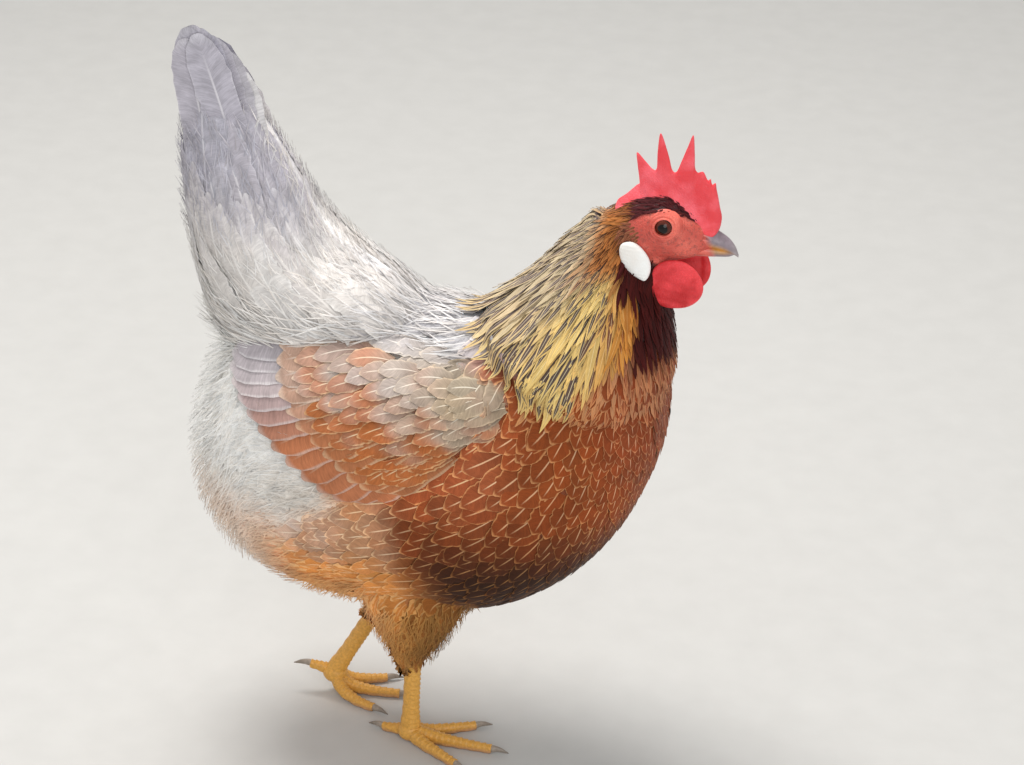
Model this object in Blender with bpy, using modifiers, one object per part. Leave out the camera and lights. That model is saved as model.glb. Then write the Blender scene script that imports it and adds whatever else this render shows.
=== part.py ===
"""A light brown leghorn hen, life size, caught in mid step.

Lengths are in millimetres until a mesh is written, then metres. The hen faces +X, +Z is up and her
right side is -Y. Every part of the body is one closed solid with a small clearance to its neighbours.
"""
import math

import bmesh
import bpy
import numpy as np
from mathutils import Matrix, Vector

# Driving dimensions, millimetres
MM = 0.001
GAP = 0.3                      # clearance between neighbouring parts
SHIFT = (-32.8, 0.0, 0.0)      # moves the middle of the whole to the origin

# Torso stations: x, level of the greatest width, top, bottom, half width
TORSO = (
    (-121.0, 199.0, 214.0, 183.0, 15.0),
    (-117.5, 199.0, 231.0, 165.0, 29.0),
    (-107.0, 199.0, 262.0, 140.0, 45.0),
    (-89.0, 200.0, 290.0, 118.0, 57.0),
    (-65.0, 201.0, 304.0, 103.0, 65.0),
    (-35.0, 202.0, 304.0, 97.0, 68.5),
    (0.0, 202.0, 301.0, 95.0, 70.0),
    (35.0, 204.0, 300.0, 97.0, 70.5),
    (68.0, 209.0, 301.0, 106.0, 69.0),
    (98.0, 217.0, 300.0, 125.0, 64.0),
    (122.0, 227.0, 295.0, 150.0, 55.0),
    (140.0, 237.0, 286.0, 180.0, 44.0),
    (152.0, 246.0, 274.0, 211.0, 30.0),
    (158.0, 250.0, 262.0, 236.0, 14.0),
)
TORSO_RINGS = 19
TORSO_SIDES = 24

# Neck with its cape: back x and z, front x and z, half width, drop of the sides
NECK = (
    (112.0, 369.0, 146.0, 340.0, 15.5, 0.0),
    (104.0, 358.0, 150.0, 331.0, 20.0, 0.0),
    (93.0, 345.0, 155.0, 318.0, 28.0, 1.0),
    (80.0, 330.0, 158.5, 303.0, 38.0, 2.0),
    (67.0, 317.0, 160.0, 286.0, 48.0, 5.0),
    (57.0, 308.0, 160.5, 270.0, 55.0, 8.0),
    (49.0, 303.0, 154.0, 254.0, 59.0, 9.0),
    (58.0, 288.0, 142.0, 238.0, 46.0, 4.0),
)
NECK_SIDES = 22
# Cape tiers: station of the roots, of the tips, reach past the lower edge, count, half width, height
# over the neck
HACKLE_TIERS = ((3.6, 5.9, 9.0, 16, 9.2, 1.5), (2.4, 4.9, 0.0, 12, 7.8, 2.6))
HACKLE_SPAN = (38.0, 180.0)    # from this angle off the front to the nape

# Head stations: x, middle, half height, half width
HEAD = (
    (116.0, 359.0, 9.0, 8.0),
    (122.0, 360.0, 15.5, 12.5),
    (131.0, 361.5, 19.5, 15.8),
    (143.0, 363.0, 21.0, 17.5),
    (155.0, 363.5, 20.5, 16.8),
    (166.0, 361.5, 17.0, 13.6),
    (176.0, 359.5, 13.0, 10.4),
    (184.0, 357.8, 9.0, 7.4),
)
HEAD_SIDES = 20
EYE_PLACE = (155.0, 10.9, 368.5)
EYE_RADIUS = 6.6
LID_RING = (5.3, 1.0)
LID_OUT = 16.2
EAR_TUFT = (135.0, 15.0, 362.0)
EAR_TUFT_SIZE = (5.0, 2.6, 3.4)
BILL_UPPER = (
    (172.0, 361.5, 8.6, 8.2),
    (178.0, 361.5, 8.2, 7.6),
    (184.0, 360.0, 6.8, 6.2),
    (189.5, 357.2, 4.9, 4.6),
    (193.5, 354.0, 3.0, 2.8),
    (196.3, 350.8, 1.0, 0.9),
)
BILL_LOWER = (
    (171.0, 352.0, 5.2, 7.4),
    (178.0, 351.6, 4.2, 6.4),
    (185.0, 351.0, 3.2, 4.8),
    (190.0, 350.4, 2.3, 3.0),
    (193.2, 350.2, 0.9, 1.1),
)
NOSTRIL = (180.0, 6.6, 362.6)
NOSTRIL_SIZE = (2.6, 1.6, 0.9)
COMB_OUTLINE = (
    (186.0, 364.0), (189.0, 370.0), (187.5, 377.0), (189.0, 383.0), (184.0, 384.5), (184.5, 391.5),
    (178.5, 391.0), (176.5, 398.0), (172.0, 397.5), (168.5, 419.0), (161.5, 398.5), (157.5, 397.0),
    (150.0, 417.5), (147.5, 396.5), (143.5, 394.5), (135.5, 406.0), (136.0, 391.0), (128.0, 385.0),
    (121.5, 373.0), (128.0, 368.0), (143.0, 374.0), (158.0, 374.0), (172.0, 366.0),
)
COMB_THICK = 6.4
WATTLE_PLACE = (162.5, 9.5, 335.0)
WATTLE_SIZE = (13.6, 3.4, 17.0)
WATTLE_SPLAY = 9.0
LOBE_PLACE = (138.5, 15.6, 349.0)
LOBE_SIZE = (6.6, 2.8, 12.0)
LOBE_TURN = (8.0, 24.0)        # outward lean and forward lean of the lobe, degrees

# Wing: x, lower and upper edge, thickness over the torso
WING = (
    (-74.0, 252.0, 272.0, 2.0),
    (-62.0, 243.0, 281.0, 3.2),
    (-42.0, 232.0, 287.0, 4.4),
    (-16.0, 225.0, 289.0, 5.4),
    (10.0, 226.0, 288.0, 5.8),
    (34.0, 233.0, 285.0, 5.2),
    (54.0, 243.0, 280.0, 4.0),
    (68.0, 252.0, 273.0, 2.2),
)
WING_CURVE = 6
# Wing tiers: root of the lowest and of the highest feather, tip line (x, z points), count, half width,
# height over the torso at the tip
WING_TIERS = (
    ((28.0, 232.0), (-34.0, 283.0),
     ((-2.0, 206.0), (-22.0, 202.0), (-40.0, 210.0), (-58.0, 224.0), (-74.0, 238.0), (-87.0, 251.0),
      (-93.0, 263.0), (-91.0, 275.0)), 8, 9.4, 1.8),
    ((50.0, 242.0), (4.0, 285.0),
     ((18.0, 216.0), (2.0, 219.0), (-18.0, 231.0), (-36.0, 247.0), (-47.0, 263.0), (-50.0, 279.0)),
     6, 9.0, 5.6),
    ((64.0, 252.0), (34.0, 282.0), ((40.0, 229.0), (22.0, 238.0), (8.0, 252.0), (0.0, 267.0), (-4.0, 281.0)),
     5, 8.0, 6.8),
)
WING_TILT = 0.16               # how far each feather leans over the one below it

# Tail core: z, rear x, front x, half width
TAIL = (
    (268.0, -112.0, -20.0, 38.0),
    (290.0, -118.0, 16.0, 47.0),
    (306.0, -121.0, -1.0, 43.0),
    (326.0, -124.0, -32.0, 37.0),
    (348.0, -126.0, -53.0, 30.0),
    (368.0, -128.0, -64.0, 23.0),
    (388.0, -128.0, -76.0, 16.0),
    (406.0, -126.0, -88.0, 10.0),
    (420.0, -122.0, -100.0, 5.0),
)
TAIL_SIDES = 16
# Tail feathers from the middle pair outward: tip x, its distance from the middle plane, tip z, root x,
# its distance
RECTRICES = (
    (-98.0, 6.0, 436.0, -84.0, 7.0),
    (-104.5, 7.2, 447.0, -88.5, 8.0),
    (-111.0, 8.4, 454.5, -93.0, 9.0),
    (-117.0, 9.6, 456.5, -97.5, 10.0),
    (-121.5, 10.8, 450.0, -102.0, 11.0),
    (-124.5, 12.0, 438.0, -106.5, 12.0),
    (-126.0, 13.2, 422.0, -111.0, 13.0),
)
RECTRIX_ROOT_Z = 352.0
RECTRIX_HALF = 10.0
RECTRIX_FACE = (0.5, 0.87)     # which way the right and left halves of the tail face
# Tail covert tiers: level of the roots and tips, first and last place round the core, count a side,
# half width
COVERT_TIERS = ((352.0, 408.0, 0.16, 0.84, 4, 9.5), (318.0, 368.0, 0.12, 0.84, 4, 12.0))
COVERT_TILT = 0.14

# Legs: the right foot is planted, the left foot rolls off behind on its toes
THIGH_RIGHT = (
    (8.0, -22.0, 146.0, 26.0, 14.0), (9.0, -25.0, 124.0, 36.0, 21.0), (9.0, -25.5, 103.0, 31.5, 21.0),
    (8.0, -22.0, 82.0, 21.0, 15.5), (6.0, -18.5, 66.0, 12.5, 10.5), (5.0, -16.5, 53.0, 7.4, 7.0),
)
THIGH_LEFT = (
    (0.0, 24.0, 146.0, 24.0, 14.0), (-7.0, 27.0, 126.0, 31.0, 20.0), (-13.0, 28.0, 106.0, 26.0, 20.0),
    (-20.0, 27.0, 87.0, 16.0, 14.0), (-26.0, 25.5, 72.0, 10.0, 9.4), (-30.0, 24.5, 61.0, 7.4, 7.0),
)
SHANK_RIGHT = ((6.5, -17.5, 66.0), (3.0, -16.0, 9.0))
SHANK_LEFT = ((-26.0, 25.5, 70.0), (-58.0, 24.0, 16.0))
SHANK_RADII = (5.6, 5.0, 4.9, 5.0, 6.2)
SHANK_SCUTES = 9
SHANK_SIDES = 12
SCUTE_STEP = 0.55
# Toes: points of the middle line, radius at the start and end, number of raised plates
TOES_RIGHT = {
    "inner": (((3.0, -15.0, 6.0), (14.0, -10.0, 3.5), (27.0, -3.0, 2.7), (40.0, 4.0, 2.0)), 4.9, 3.2, 4),
    "middle": (((3.0, -16.0, 6.0), (20.0, -17.0, 3.7), (38.0, -18.0, 2.8), (56.0, -18.5, 2.1)), 5.3, 3.3, 6),
    "outer": (((3.0, -17.0, 6.0), (13.0, -24.0, 3.5), (26.0, -32.0, 2.7), (38.0, -39.0, 2.0)), 4.9, 3.2, 4),
    "hind": (((2.0, -15.5, 7.0), (-7.0, -13.0, 3.6), (-16.0, -10.5, 2.0)), 4.0, 3.0, 2),
}
TOES_LEFT = {
    "inner": (((-58.0, 23.0, 14.0), (-51.0, 17.0, 6.0), (-40.0, 11.5, 2.8), (-28.0, 7.5, 2.0)), 4.9, 3.2, 4),
    "middle": (((-58.0, 24.0, 14.0), (-49.0, 24.0, 6.0), (-34.0, 25.0, 2.9), (-16.0, 26.5, 2.1)), 5.3, 3.3, 5),
    "outer": (((-58.0, 25.0, 14.0), (-51.0, 31.0, 6.0), (-40.0, 37.5, 2.8), (-29.0, 42.5, 2.0)), 4.9, 3.2, 4),
    "hind": (((-59.0, 24.0, 15.0), (-67.0, 23.5, 17.0), (-74.0, 23.0, 18.5)), 4.0, 3.0, 2),
}
TOE_SIDES = 8
PAD_SIZE = (8.0, 7.0, 6.8)
CLAW_LENGTH = 11.0
CLAW_RADIUS = 2.3

COLOURS = {
    "breast plumage": ("B5643C", 0.85), "hackle plumage": ("DDB470", 0.8),
    "tail plumage": ("B9B0B5", 0.8), "wing plumage": ("C79A7C", 0.8), "thigh plumage": ("C98A50", 0.85),
    "red comb skin": ("E8404A", 0.45), "face skin": ("DE6E62", 0.55), "white lobe skin": ("F2EDE6", 0.5),
    "bill horn": ("9A8C90", 0.4), "eye": ("5A2316", 0.15), "yellow leg skin": ("E0AC56", 0.5),
    "claw horn": ("A79A8C", 0.45),
}


def linear(hex_code):
    """The linear colour of an sRGB hex code."""
    channels = [int(hex_code[i:i + 2], 16) / 255 for i in (0, 2, 4)]
    return tuple(c / 12.92 if c <= 0.04045 else ((c + 0.055) / 1.055) ** 2.4 for c in channels) + (1.0,)


def make_material(name, part_name):
    hex_code, roughness = COLOURS[name]
    material = bpy.data.materials.new(f"{part_name} {name}")
    material.use_nodes = True
    material.diffuse_color = linear(hex_code)
    shader = material.node_tree.nodes["Principled BSDF"]
    shader.inputs["Base Color"].default_value = linear(hex_code)
    shader.inputs["Roughness"].default_value = roughness
    shader.inputs["Metallic"].default_value = 0.0
    return material


def make_mesh(points, faces):
    """A mesh from millimetre points, its faces turned outward."""
    mesh = bpy.data.meshes.new("shape")
    mesh.from_pydata([tuple(p) for p in np.asarray(points) * MM], [], faces)
    work = bmesh.new()
    work.from_mesh(mesh)
    if work.calc_volume(signed=True) < 0:
        bmesh.ops.reverse_faces(work, faces=work.faces)
    work.to_mesh(mesh)
    work.free()
    return mesh


def add_object(name, mesh, collection):
    item = bpy.data.objects.new(name, mesh)
    collection.objects.link(item)
    return item


def spline(rows, count, at=None):
    """Rows of numbers carried on to count rows by a smooth curve through them."""
    rows = np.asarray(rows, float)
    places = np.linspace(0, len(rows) - 1, count) if at is None else np.asarray(at, float)
    padded = np.vstack([2 * rows[0] - rows[1], rows, 2 * rows[-1] - rows[-2]])
    index = np.minimum(places.astype(int), len(rows) - 2)
    t = (places - index)[:, None]
    a, b, c, d = (padded[index + k] for k in range(4))
    bend, twist = 2 * a - 5 * b + 4 * c - d, 3 * b - a - 3 * c + d
    return 0.5 * (2 * b + (c - a) * t + bend * t ** 2 + twist * t ** 3)


def loft(rings):
    """Closed mesh through rings of equal count, each end closed by a fan on its middle point."""
    rings = [np.asarray(r, float) for r in rings]
    count = len(rings[0])
    points = np.vstack(rings + [rings[0].mean(0), rings[-1].mean(0)])
    faces = []
    for row in range(len(rings) - 1):
        for k in range(count):
            a, b = row * count + k, row * count + (k + 1) % count
            faces.append((a, b, b + count, a + count))
    first, last = len(points) - 2, len(points) - 1
    base = (len(rings) - 1) * count
    for k in range(count):
        faces.append((first, (k + 1) % count, k))
        faces.append((last, base + k, base + (k + 1) % count))
    return make_mesh(points, faces)


def oval(centre, u, v, count, drop=0.0):
    """A ring of points about a centre, its sides let down by drop."""
    angle = np.arange(count) * 2 * math.pi / count
    ring = np.asarray(centre, float) + np.outer(np.cos(angle), u) + np.outer(np.sin(angle), v)
    ring[:, 2] -= drop * np.sin(angle) ** 2
    return ring


def inflate(mesh, gap):
    """A copy of the mesh with every face moved outward by the gap."""
    copy = mesh.copy()
    work = bmesh.new()
    work.from_mesh(copy)
    bmesh.ops.triangulate(work, faces=work.faces)
    work.normal_update()
    moves = [v.normal * gap * MM * min(v.calc_shell_factor(), 2.5) for v in work.verts]
    for vertex, move in zip(work.verts, moves):
        vertex.co += move
    work.to_mesh(copy)
    work.free()
    return copy


def keep_largest(mesh):
    """Drops every closed surface but the one with the greatest volume."""
    work = bmesh.new()
    work.from_mesh(mesh)
    work.faces.ensure_lookup_table()
    seen, shells = set(), []
    for face in work.faces:
        if face.index in seen:
            continue
        stack, shell = [face], []
        seen.add(face.index)
        while stack:
            here = stack.pop()
            shell.append(here)
            for edge in here.edges:
                for other in edge.link_faces:
                    if other.index not in seen:
                        seen.add(other.index)
                        stack.append(other)
        shells.append(shell)
    if len(shells) > 1:
        def size(shell):
            return sum(f.calc_center_median().dot(f.normal) * f.calc_area() for f in shell) / 3
        shells.sort(key=size, reverse=True)
        bmesh.ops.delete(work, geom=[f for s in shells[1:] for f in s], context="FACES")
        loose = [v for v in work.verts if not v.link_faces]
        bmesh.ops.delete(work, geom=loose, context="VERTS")
    work.to_mesh(mesh)
    work.free()


def apply_boolean(item, operation, tool_meshes, tool_collection):
    """Joins or cuts the item with closed tool meshes in one step."""
    group = bpy.data.collections.new("tools")
    tool_collection.children.link(group)
    tools = []
    for mesh in tool_meshes:
        tool = add_object("tool", mesh, group)
        tool.hide_render = True
        tool.display_type = "WIRE"
        tools.append(tool)
    step = item.modifiers.new("join", "BOOLEAN")
    step.operand_type = "COLLECTION"
    step.collection = group
    step.operation = operation
    step.solver = "EXACT"
    step.use_self = False
    result = bpy.data.meshes.new_from_object(item.evaluated_get(bpy.context.evaluated_depsgraph_get()))
    item.modifiers.clear()
    old = item.data
    item.data = result
    bpy.data.meshes.remove(old)
    for tool in tools:
        mesh = tool.data
        bpy.data.objects.remove(tool)
        bpy.data.meshes.remove(mesh)
    bpy.data.collections.remove(group)
    keep_largest(item.data)


def ball(centre, size, segments, rings, turn=None):
    """A closed ellipsoid mesh with half sizes in millimetres."""
    mesh = bpy.data.meshes.new("ball")
    work = bmesh.new()
    bmesh.ops.create_uvsphere(work, u_segments=segments, v_segments=rings, radius=1.0)
    matrix = Matrix.Diagonal((*[s * MM for s in size], 1.0))
    if turn is not None:
        matrix = turn.to_4x4() @ matrix
    matrix = Matrix.Translation(Vector(centre) * MM) @ matrix
    bmesh.ops.transform(work, matrix=matrix, verts=work.verts)
    work.to_mesh(mesh)
    work.free()
    return mesh


def torso_station(x):
    """Level of the greatest width, top, bottom and half width of the torso at x."""
    table = np.array(TORSO)
    place = np.interp(x, table[:, 0], np.arange(len(table)))
    return spline(table, 0, at=[place])[0][1:]


def on_side(x, z, side, out):
    """Point and outward normal on the torso at x and height z, out millimetres above the surface."""
    def surface(px, pz):
        middle, top, bottom, half = torso_station(px)
        reach = (top - middle) if pz > middle else (middle - bottom)
        share = min(abs(pz - middle) / reach, 0.985)
        return np.array([px, side * half * math.sqrt(1 - share ** 2), pz])
    here = surface(x, z)
    along = surface(x + 1.0, z) - surface(x - 1.0, z)
    upward = surface(x, z + 1.0) - surface(x, z - 1.0)
    normal = np.cross(along, upward)
    normal /= np.linalg.norm(normal)
    if normal[1] * side < 0:
        normal = -normal
    return here + normal * out, normal


def vane(points, normals, halves, thick, droop=0.0):
    """A closed feather blade along a line of points: a keel above, thin sides, both faces split alike.

    The sides are let down by droop, in half widths squared over it, so that the blade wraps a round body.
    """
    points, normals = np.asarray(points, float), np.asarray(normals, float)
    rings = []
    for k, (point, normal) in enumerate(zip(points, normals)):
        along = points[min(k + 1, len(points) - 1)] - points[max(k - 1, 0)]
        along /= np.linalg.norm(along)
        normal = normal - along * normal.dot(along)
        normal /= np.linalg.norm(normal)
        side = np.cross(normal, along)
        half, t = halves[k], thick[k]
        fall = normal * (half * half / (2 * droop) if droop else 0.0)
        up, edge = normal * t * 0.5, normal * t * 0.3
        rings += [point - side * half + edge - fall, point + up, point + side * half + edge - fall,
                  point + side * half - edge - fall, point - up, point - side * half - edge - fall]
    faces = []
    for row in range(len(points) - 1):
        a, b = row * 6, row * 6 + 6
        for top_a, top_b, low_a, low_b in ((0, 1, 5, 4), (1, 2, 4, 3)):
            faces += [(a + top_a, b + top_a, b + top_b), (a + top_a, b + top_b, a + top_b)]
            faces += [(a + low_a, b + low_b, b + low_a), (a + low_a, a + low_b, b + low_b)]
        faces += [(a + 2, b + 2, b + 3), (a + 2, b + 3, a + 3), (a + 0, b + 5, b + 0), (a + 0, a + 5, b + 5)]
    end = (len(points) - 1) * 6
    for base, order in ((0, 1), (end, -1)):
        for tri in ((0, 1, 4), (0, 4, 5), (1, 2, 4), (2, 3, 4)):
            faces.append(tuple(base + k for k in tri[::order]))
    return make_mesh(np.array(rings), faces)


def make_torso(collection):
    rings = []
    for x, middle, top, bottom, half in spline(TORSO, TORSO_RINGS):
        angle = np.arange(TORSO_SIDES) * 2 * math.pi / TORSO_SIDES
        rise = np.where(np.sin(angle) > 0, top - middle, middle - bottom)
        level = middle + rise * np.sin(angle)
        rings.append(np.stack([np.full(TORSO_SIDES, x), half * np.cos(angle), level], 1))
    return add_object("torso", loft(rings), collection)


def neck_rings(count):
    rings = []
    for bx, bz, fx, fz, half, drop in spline(NECK, count):
        centre = ((bx + fx) / 2, 0, (bz + fz) / 2)
        rings.append(oval(centre, ((fx - bx) / 2, 0, (fz - bz) / 2), (0, half, 0), NECK_SIDES, drop))
    return rings


def on_neck(station, angle, out):
    """Point and outward normal on the neck at a station and an angle from its front."""
    def surface(row, turn):
        bx, bz, fx, fz, half, drop = spline(NECK, 0, at=[row])[0]
        return np.array([(bx + fx) / 2 + (fx - bx) / 2 * math.cos(turn), half * math.sin(turn),
                         (bz + fz) / 2 + (fz - bz) / 2 * math.cos(turn) - drop * math.sin(turn) ** 2])
    here = surface(station, angle)
    around = surface(station, angle + 0.02) - surface(station, angle - 0.02)
    down = surface(station + 0.02, angle) - surface(station - 0.02, angle)
    normal = np.cross(down, around)
    normal /= np.linalg.norm(normal)
    return here + normal * out, normal, down / np.linalg.norm(down)


def hackle_vanes():
    """The pointed feathers of the cape, in tiers from its lower edge up."""
    blades = []
    for root, tip, reach, count, half, height in HACKLE_TIERS:
        first, last = (math.radians(a) for a in HACKLE_SPAN)
        for k in range(count):
            share = (k + 0.5) / count * 2 - 1
            angle = math.copysign(first + (last - first) * (1 - abs(share)), share)
            places = []
            for t, out in ((0.0, -1.5), (0.45, height), (0.8, height + 0.5), (1.0, height + 0.2)):
                point, normal, down = on_neck(root + (tip - root) * t, angle, out)
                places.append((point + down * reach * t * t, normal))
            halves = (half * 0.8, half, half * 0.72, half * 0.12)
            points, normals = zip(*places)
            blades.append(vane(points, normals, halves, (1.6, 1.4, 1.2, 0.7), 60.0))
    return blades


def make_neck(collection, tools):
    item = add_object("neck", loft(neck_rings(10)), collection)
    apply_boolean(item, "UNION", hackle_vanes(), tools)
    return item


def section_rings(stations, count, sides):
    rings = []
    for x, middle, high, half in spline(stations, count):
        rings.append(oval((x, 0, middle), (0, 0, high), (0, half, 0), sides))
    return rings


def make_head(collection, tools):
    item = add_object("head", loft(section_rings(HEAD, 11, HEAD_SIDES)), collection)
    forms = []
    for side in (-1, 1):
        bpy.ops.mesh.primitive_torus_add(major_segments=14, minor_segments=5, major_radius=LID_RING[0] * MM,
                                         minor_radius=LID_RING[1] * MM)
        ring = bpy.context.object
        mesh = ring.data.copy()
        bpy.data.objects.remove(ring)
        place = Vector((EYE_PLACE[0], side * (LID_OUT - 0.7), EYE_PLACE[2])) * MM
        mesh.transform(Matrix.Translation(place) @ Matrix.Rotation(math.radians(90), 4, "X"))
        forms.append(mesh)
        tuft = (EAR_TUFT[0], side * EAR_TUFT[1], EAR_TUFT[2])
        forms.append(ball(tuft, EAR_TUFT_SIZE, 10, 6))
    apply_boolean(item, "UNION", forms, tools)
    return item


def make_eye(name, side, collection):
    place = (EYE_PLACE[0], side * EYE_PLACE[1], EYE_PLACE[2])
    return add_object(name, ball(place, (EYE_RADIUS,) * 3, 12, 7), collection)


def make_bill(name, stations, collection):
    return add_object(name, loft(section_rings(stations, 7, 12)), collection)


def make_comb(collection):
    """The toothed plate of the comb, thinner toward the tips, with rounded edges."""
    outline = np.array(COMB_OUTLINE)
    mesh = bpy.data.meshes.new("comb")
    points = [(x * MM, 0.0, z * MM) for x, z in outline]
    mesh.from_pydata(points, [], [tuple(range(len(points)))])
    item = add_object("comb", mesh, collection)
    solid = item.modifiers.new("thickness", "SOLIDIFY")
    solid.thickness = COMB_THICK * MM
    solid.offset = 0.0
    soft = item.modifiers.new("soft edge", "BEVEL")
    soft.width = 1.3 * MM
    soft.segments = 1
    soft.limit_method = "ANGLE"
    soft.angle_limit = math.radians(60)
    result = bpy.data.meshes.new_from_object(item.evaluated_get(bpy.context.evaluated_depsgraph_get()))
    item.modifiers.clear()
    item.data = result
    for vertex in result.vertices:
        height = (vertex.co.z / MM - 380.0) / 38.0
        vertex.co.y *= 1.0 - 0.55 * min(max(height, 0.0), 1.0)
    return item


def wing_core(side):
    rings = []
    steps = np.linspace(0, 1, WING_CURVE)
    for x, low, high, thick in spline(WING, 8):
        levels = low + (high - low) * steps
        swell = thick * (0.25 + 0.75 * np.sin(math.pi * steps) ** 0.7)
        outer = [on_side(x, z, side, out)[0] for z, out in zip(levels, swell)]
        inner = [on_side(x, z, side, -3.0)[0] for z in levels[::-1]]
        rings.append(outer + inner)
    return loft(rings)


def wing_vanes(side):
    """Overlapping feathers in tiers, the longest lowest and furthest back."""
    blades = []
    for root_low, root_high, tip_line, count, half, height in WING_TIERS:
        tips = spline(tip_line, count)
        roots = spline((root_low, root_high), count)
        for k in range(count):
            over = height * (1.0 - 0.5 * (k / (count - 1)) ** 2)
            places = []
            for t, bow, out in ((0.0, 0.0, -1.0), (0.45, 2.0, over), (0.84, 1.6, over + 0.6),
                                (1.0, 0.0, over + 0.4)):
                x, z = roots[k] + (tips[k] - roots[k]) * t
                places.append(on_side(x, z + bow, side, out))
            normals = [n + np.array([0.0, 0.0, WING_TILT]) for _, n in places]
            halves = (half * 0.7, half, half * 0.82, half * 0.2)
            blades.append(vane([p for p, _ in places], normals, halves, (1.5, 1.3, 1.1, 0.7)))
    return blades


def make_wing(side, name, collection, tools):
    item = add_object(name, wing_core(side), collection)
    apply_boolean(item, "UNION", wing_vanes(side), tools)
    return item


def tail_core_rings():
    rings = []
    for z, rear, front, half in spline(TAIL, 10):
        rings.append(oval(((rear + front) / 2, 0, z), ((front - rear) / 2, 0, 0), (0, half, 0), TAIL_SIDES))
    return rings


def tail_station(z):
    table = np.array(TAIL)
    place = np.interp(z, table[:, 0], np.arange(len(table)))
    return spline(table, 0, at=[place])[0][1:]


def on_tail(turn, z, side, out):
    """Point and outward normal on the tail core; turn runs from 0 at the front ridge to 1 at the rear."""
    def surface(a, level):
        rear, front, half = tail_station(level)
        angle = a * math.pi
        along = (rear + front) / 2 + (front - rear) / 2 * math.cos(angle)
        return np.array([along, side * half * math.sin(angle), level])
    here = surface(turn, z)
    around = surface(turn + 0.01, z) - surface(turn - 0.01, z)
    upward = surface(turn, z + 1.0) - surface(turn, z - 1.0)
    normal = np.cross(around, upward)
    normal /= np.linalg.norm(normal)
    if normal.dot(here - np.array([here[0], 0, z]) + np.array([0, side * 0.01, 0])) < 0:
        normal = -normal
    return here + normal * out, normal


def tail_vanes():
    """The main tail feathers in two halves that meet at a ridge, the middle pair on top, and the coverts."""
    blades = []
    for side in (-1, 1):
        face = np.array([RECTRIX_FACE[0], side * RECTRIX_FACE[1], 0.0])
        for tip_x, tip_y, tip_z, root_x, root_y in RECTRICES:
            root = np.array([root_x, side * root_y, RECTRIX_ROOT_Z])
            tip = np.array([tip_x, side * tip_y, tip_z])
            bow = np.array([2.0, 0.0, 0.0])
            path = [root + (tip - root) * t + bow * math.sin(math.pi * t) for t in (0.0, 0.5, 0.86, 1.0)]
            halves = (RECTRIX_HALF * 0.6, RECTRIX_HALF, RECTRIX_HALF * 0.9, RECTRIX_HALF * 0.35)
            blades.append(vane(path, [face] * 4, halves, (1.2, 1.2, 1.0, 0.7)))
        for root_z, tip_z, first, last, count, half in COVERT_TIERS:
            for k in range(count):
                turn = first + (last - first) * k / (count - 1)
                places = []
                for t, out in ((0.0, -1.5), (0.45, 1.4), (0.84, 2.2), (1.0, 2.2)):
                    places.append(on_tail(turn, root_z + (tip_z - root_z) * t, side, out))
                normals = [n - np.array([COVERT_TILT, 0.0, 0.0]) for _, n in places]
                halves = (half * 0.75, half, half * 0.8, half * 0.2)
                blades.append(vane([p for p, _ in places], normals, halves, (1.5, 1.3, 1.1, 0.7), 30.0))
    return blades


def make_tail(collection, tools):
    item = add_object("tail", loft(tail_core_rings()), collection)
    apply_boolean(item, "UNION", tail_vanes(), tools)
    return item


def make_thigh(name, stations, collection):
    rings = []
    for x, y, z, along, half in spline(stations, 10):
        rings.append(oval((x, y, z), (along, 0, 0), (0, half, 0), 14))
    return add_object(name, loft(rings), collection)


def stepped_tube(path, radii, sides, plates, step, front, share):
    """A tube along a path whose front carries raised overlapping plates.

    Each plate rises from the tube over its length and ends in a small ledge. Front is the direction the
    plates face; share is how far round they reach, as the least cosine.
    """
    path = np.asarray(path, float)
    marks = [(k / plates + e, 1.0 if e < 0 else 0.15) for k in range(1, plates) for e in (-0.012, 0.012)]
    marks = [(0.0, 0.15)] + marks + [(1.0, 0.6)]
    rings = []
    for t, lift in marks:
        point = spline(path, 0, at=[t * (len(path) - 1)])[0]
        ahead = spline(path, 0, at=[min(t + 0.02, 1.0) * (len(path) - 1)])[0]
        behind = spline(path, 0, at=[max(t - 0.02, 0.0) * (len(path) - 1)])[0]
        along = (ahead - behind) / np.linalg.norm(ahead - behind)
        face = np.asarray(front, float) - along * np.dot(front, along)
        face /= np.linalg.norm(face)
        side = np.cross(along, face)
        radius = float(np.interp(t, np.linspace(0, 1, len(radii)), radii))
        angle = np.arange(sides) * 2 * math.pi / sides
        rise = np.where(np.cos(angle) > share, lift * step, 0.0)
        rings.append(point + np.outer((radius + rise) * np.cos(angle), face)
                     + np.outer((radius * 0.88 + rise) * np.sin(angle), side))
    return loft(rings)


def make_shank(name, ends, collection):
    top, bottom = (np.array(p) for p in ends)
    path = [top + (bottom - top) * t for t in (0, 0.25, 0.5, 0.75, 1.0)]
    mesh = stepped_tube(path, SHANK_RADII, SHANK_SIDES, SHANK_SCUTES, SCUTE_STEP, (1.0, 0.0, 0.2), 0.1)
    return add_object(name, mesh, collection)


def floor_cutter():
    return box_mesh((-400, -400, -60), (400, 400, 0))


def box_mesh(low, high):
    """A closed box between two corners."""
    corners = [(x, y, z) for x in (low[0], high[0]) for y in (low[1], high[1]) for z in (low[2], high[2])]
    faces = [(0, 1, 3, 2), (4, 6, 7, 5), (0, 4, 5, 1), (2, 3, 7, 6), (0, 2, 6, 4), (1, 5, 7, 3)]
    return make_mesh(np.array(corners, float), faces)


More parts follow.
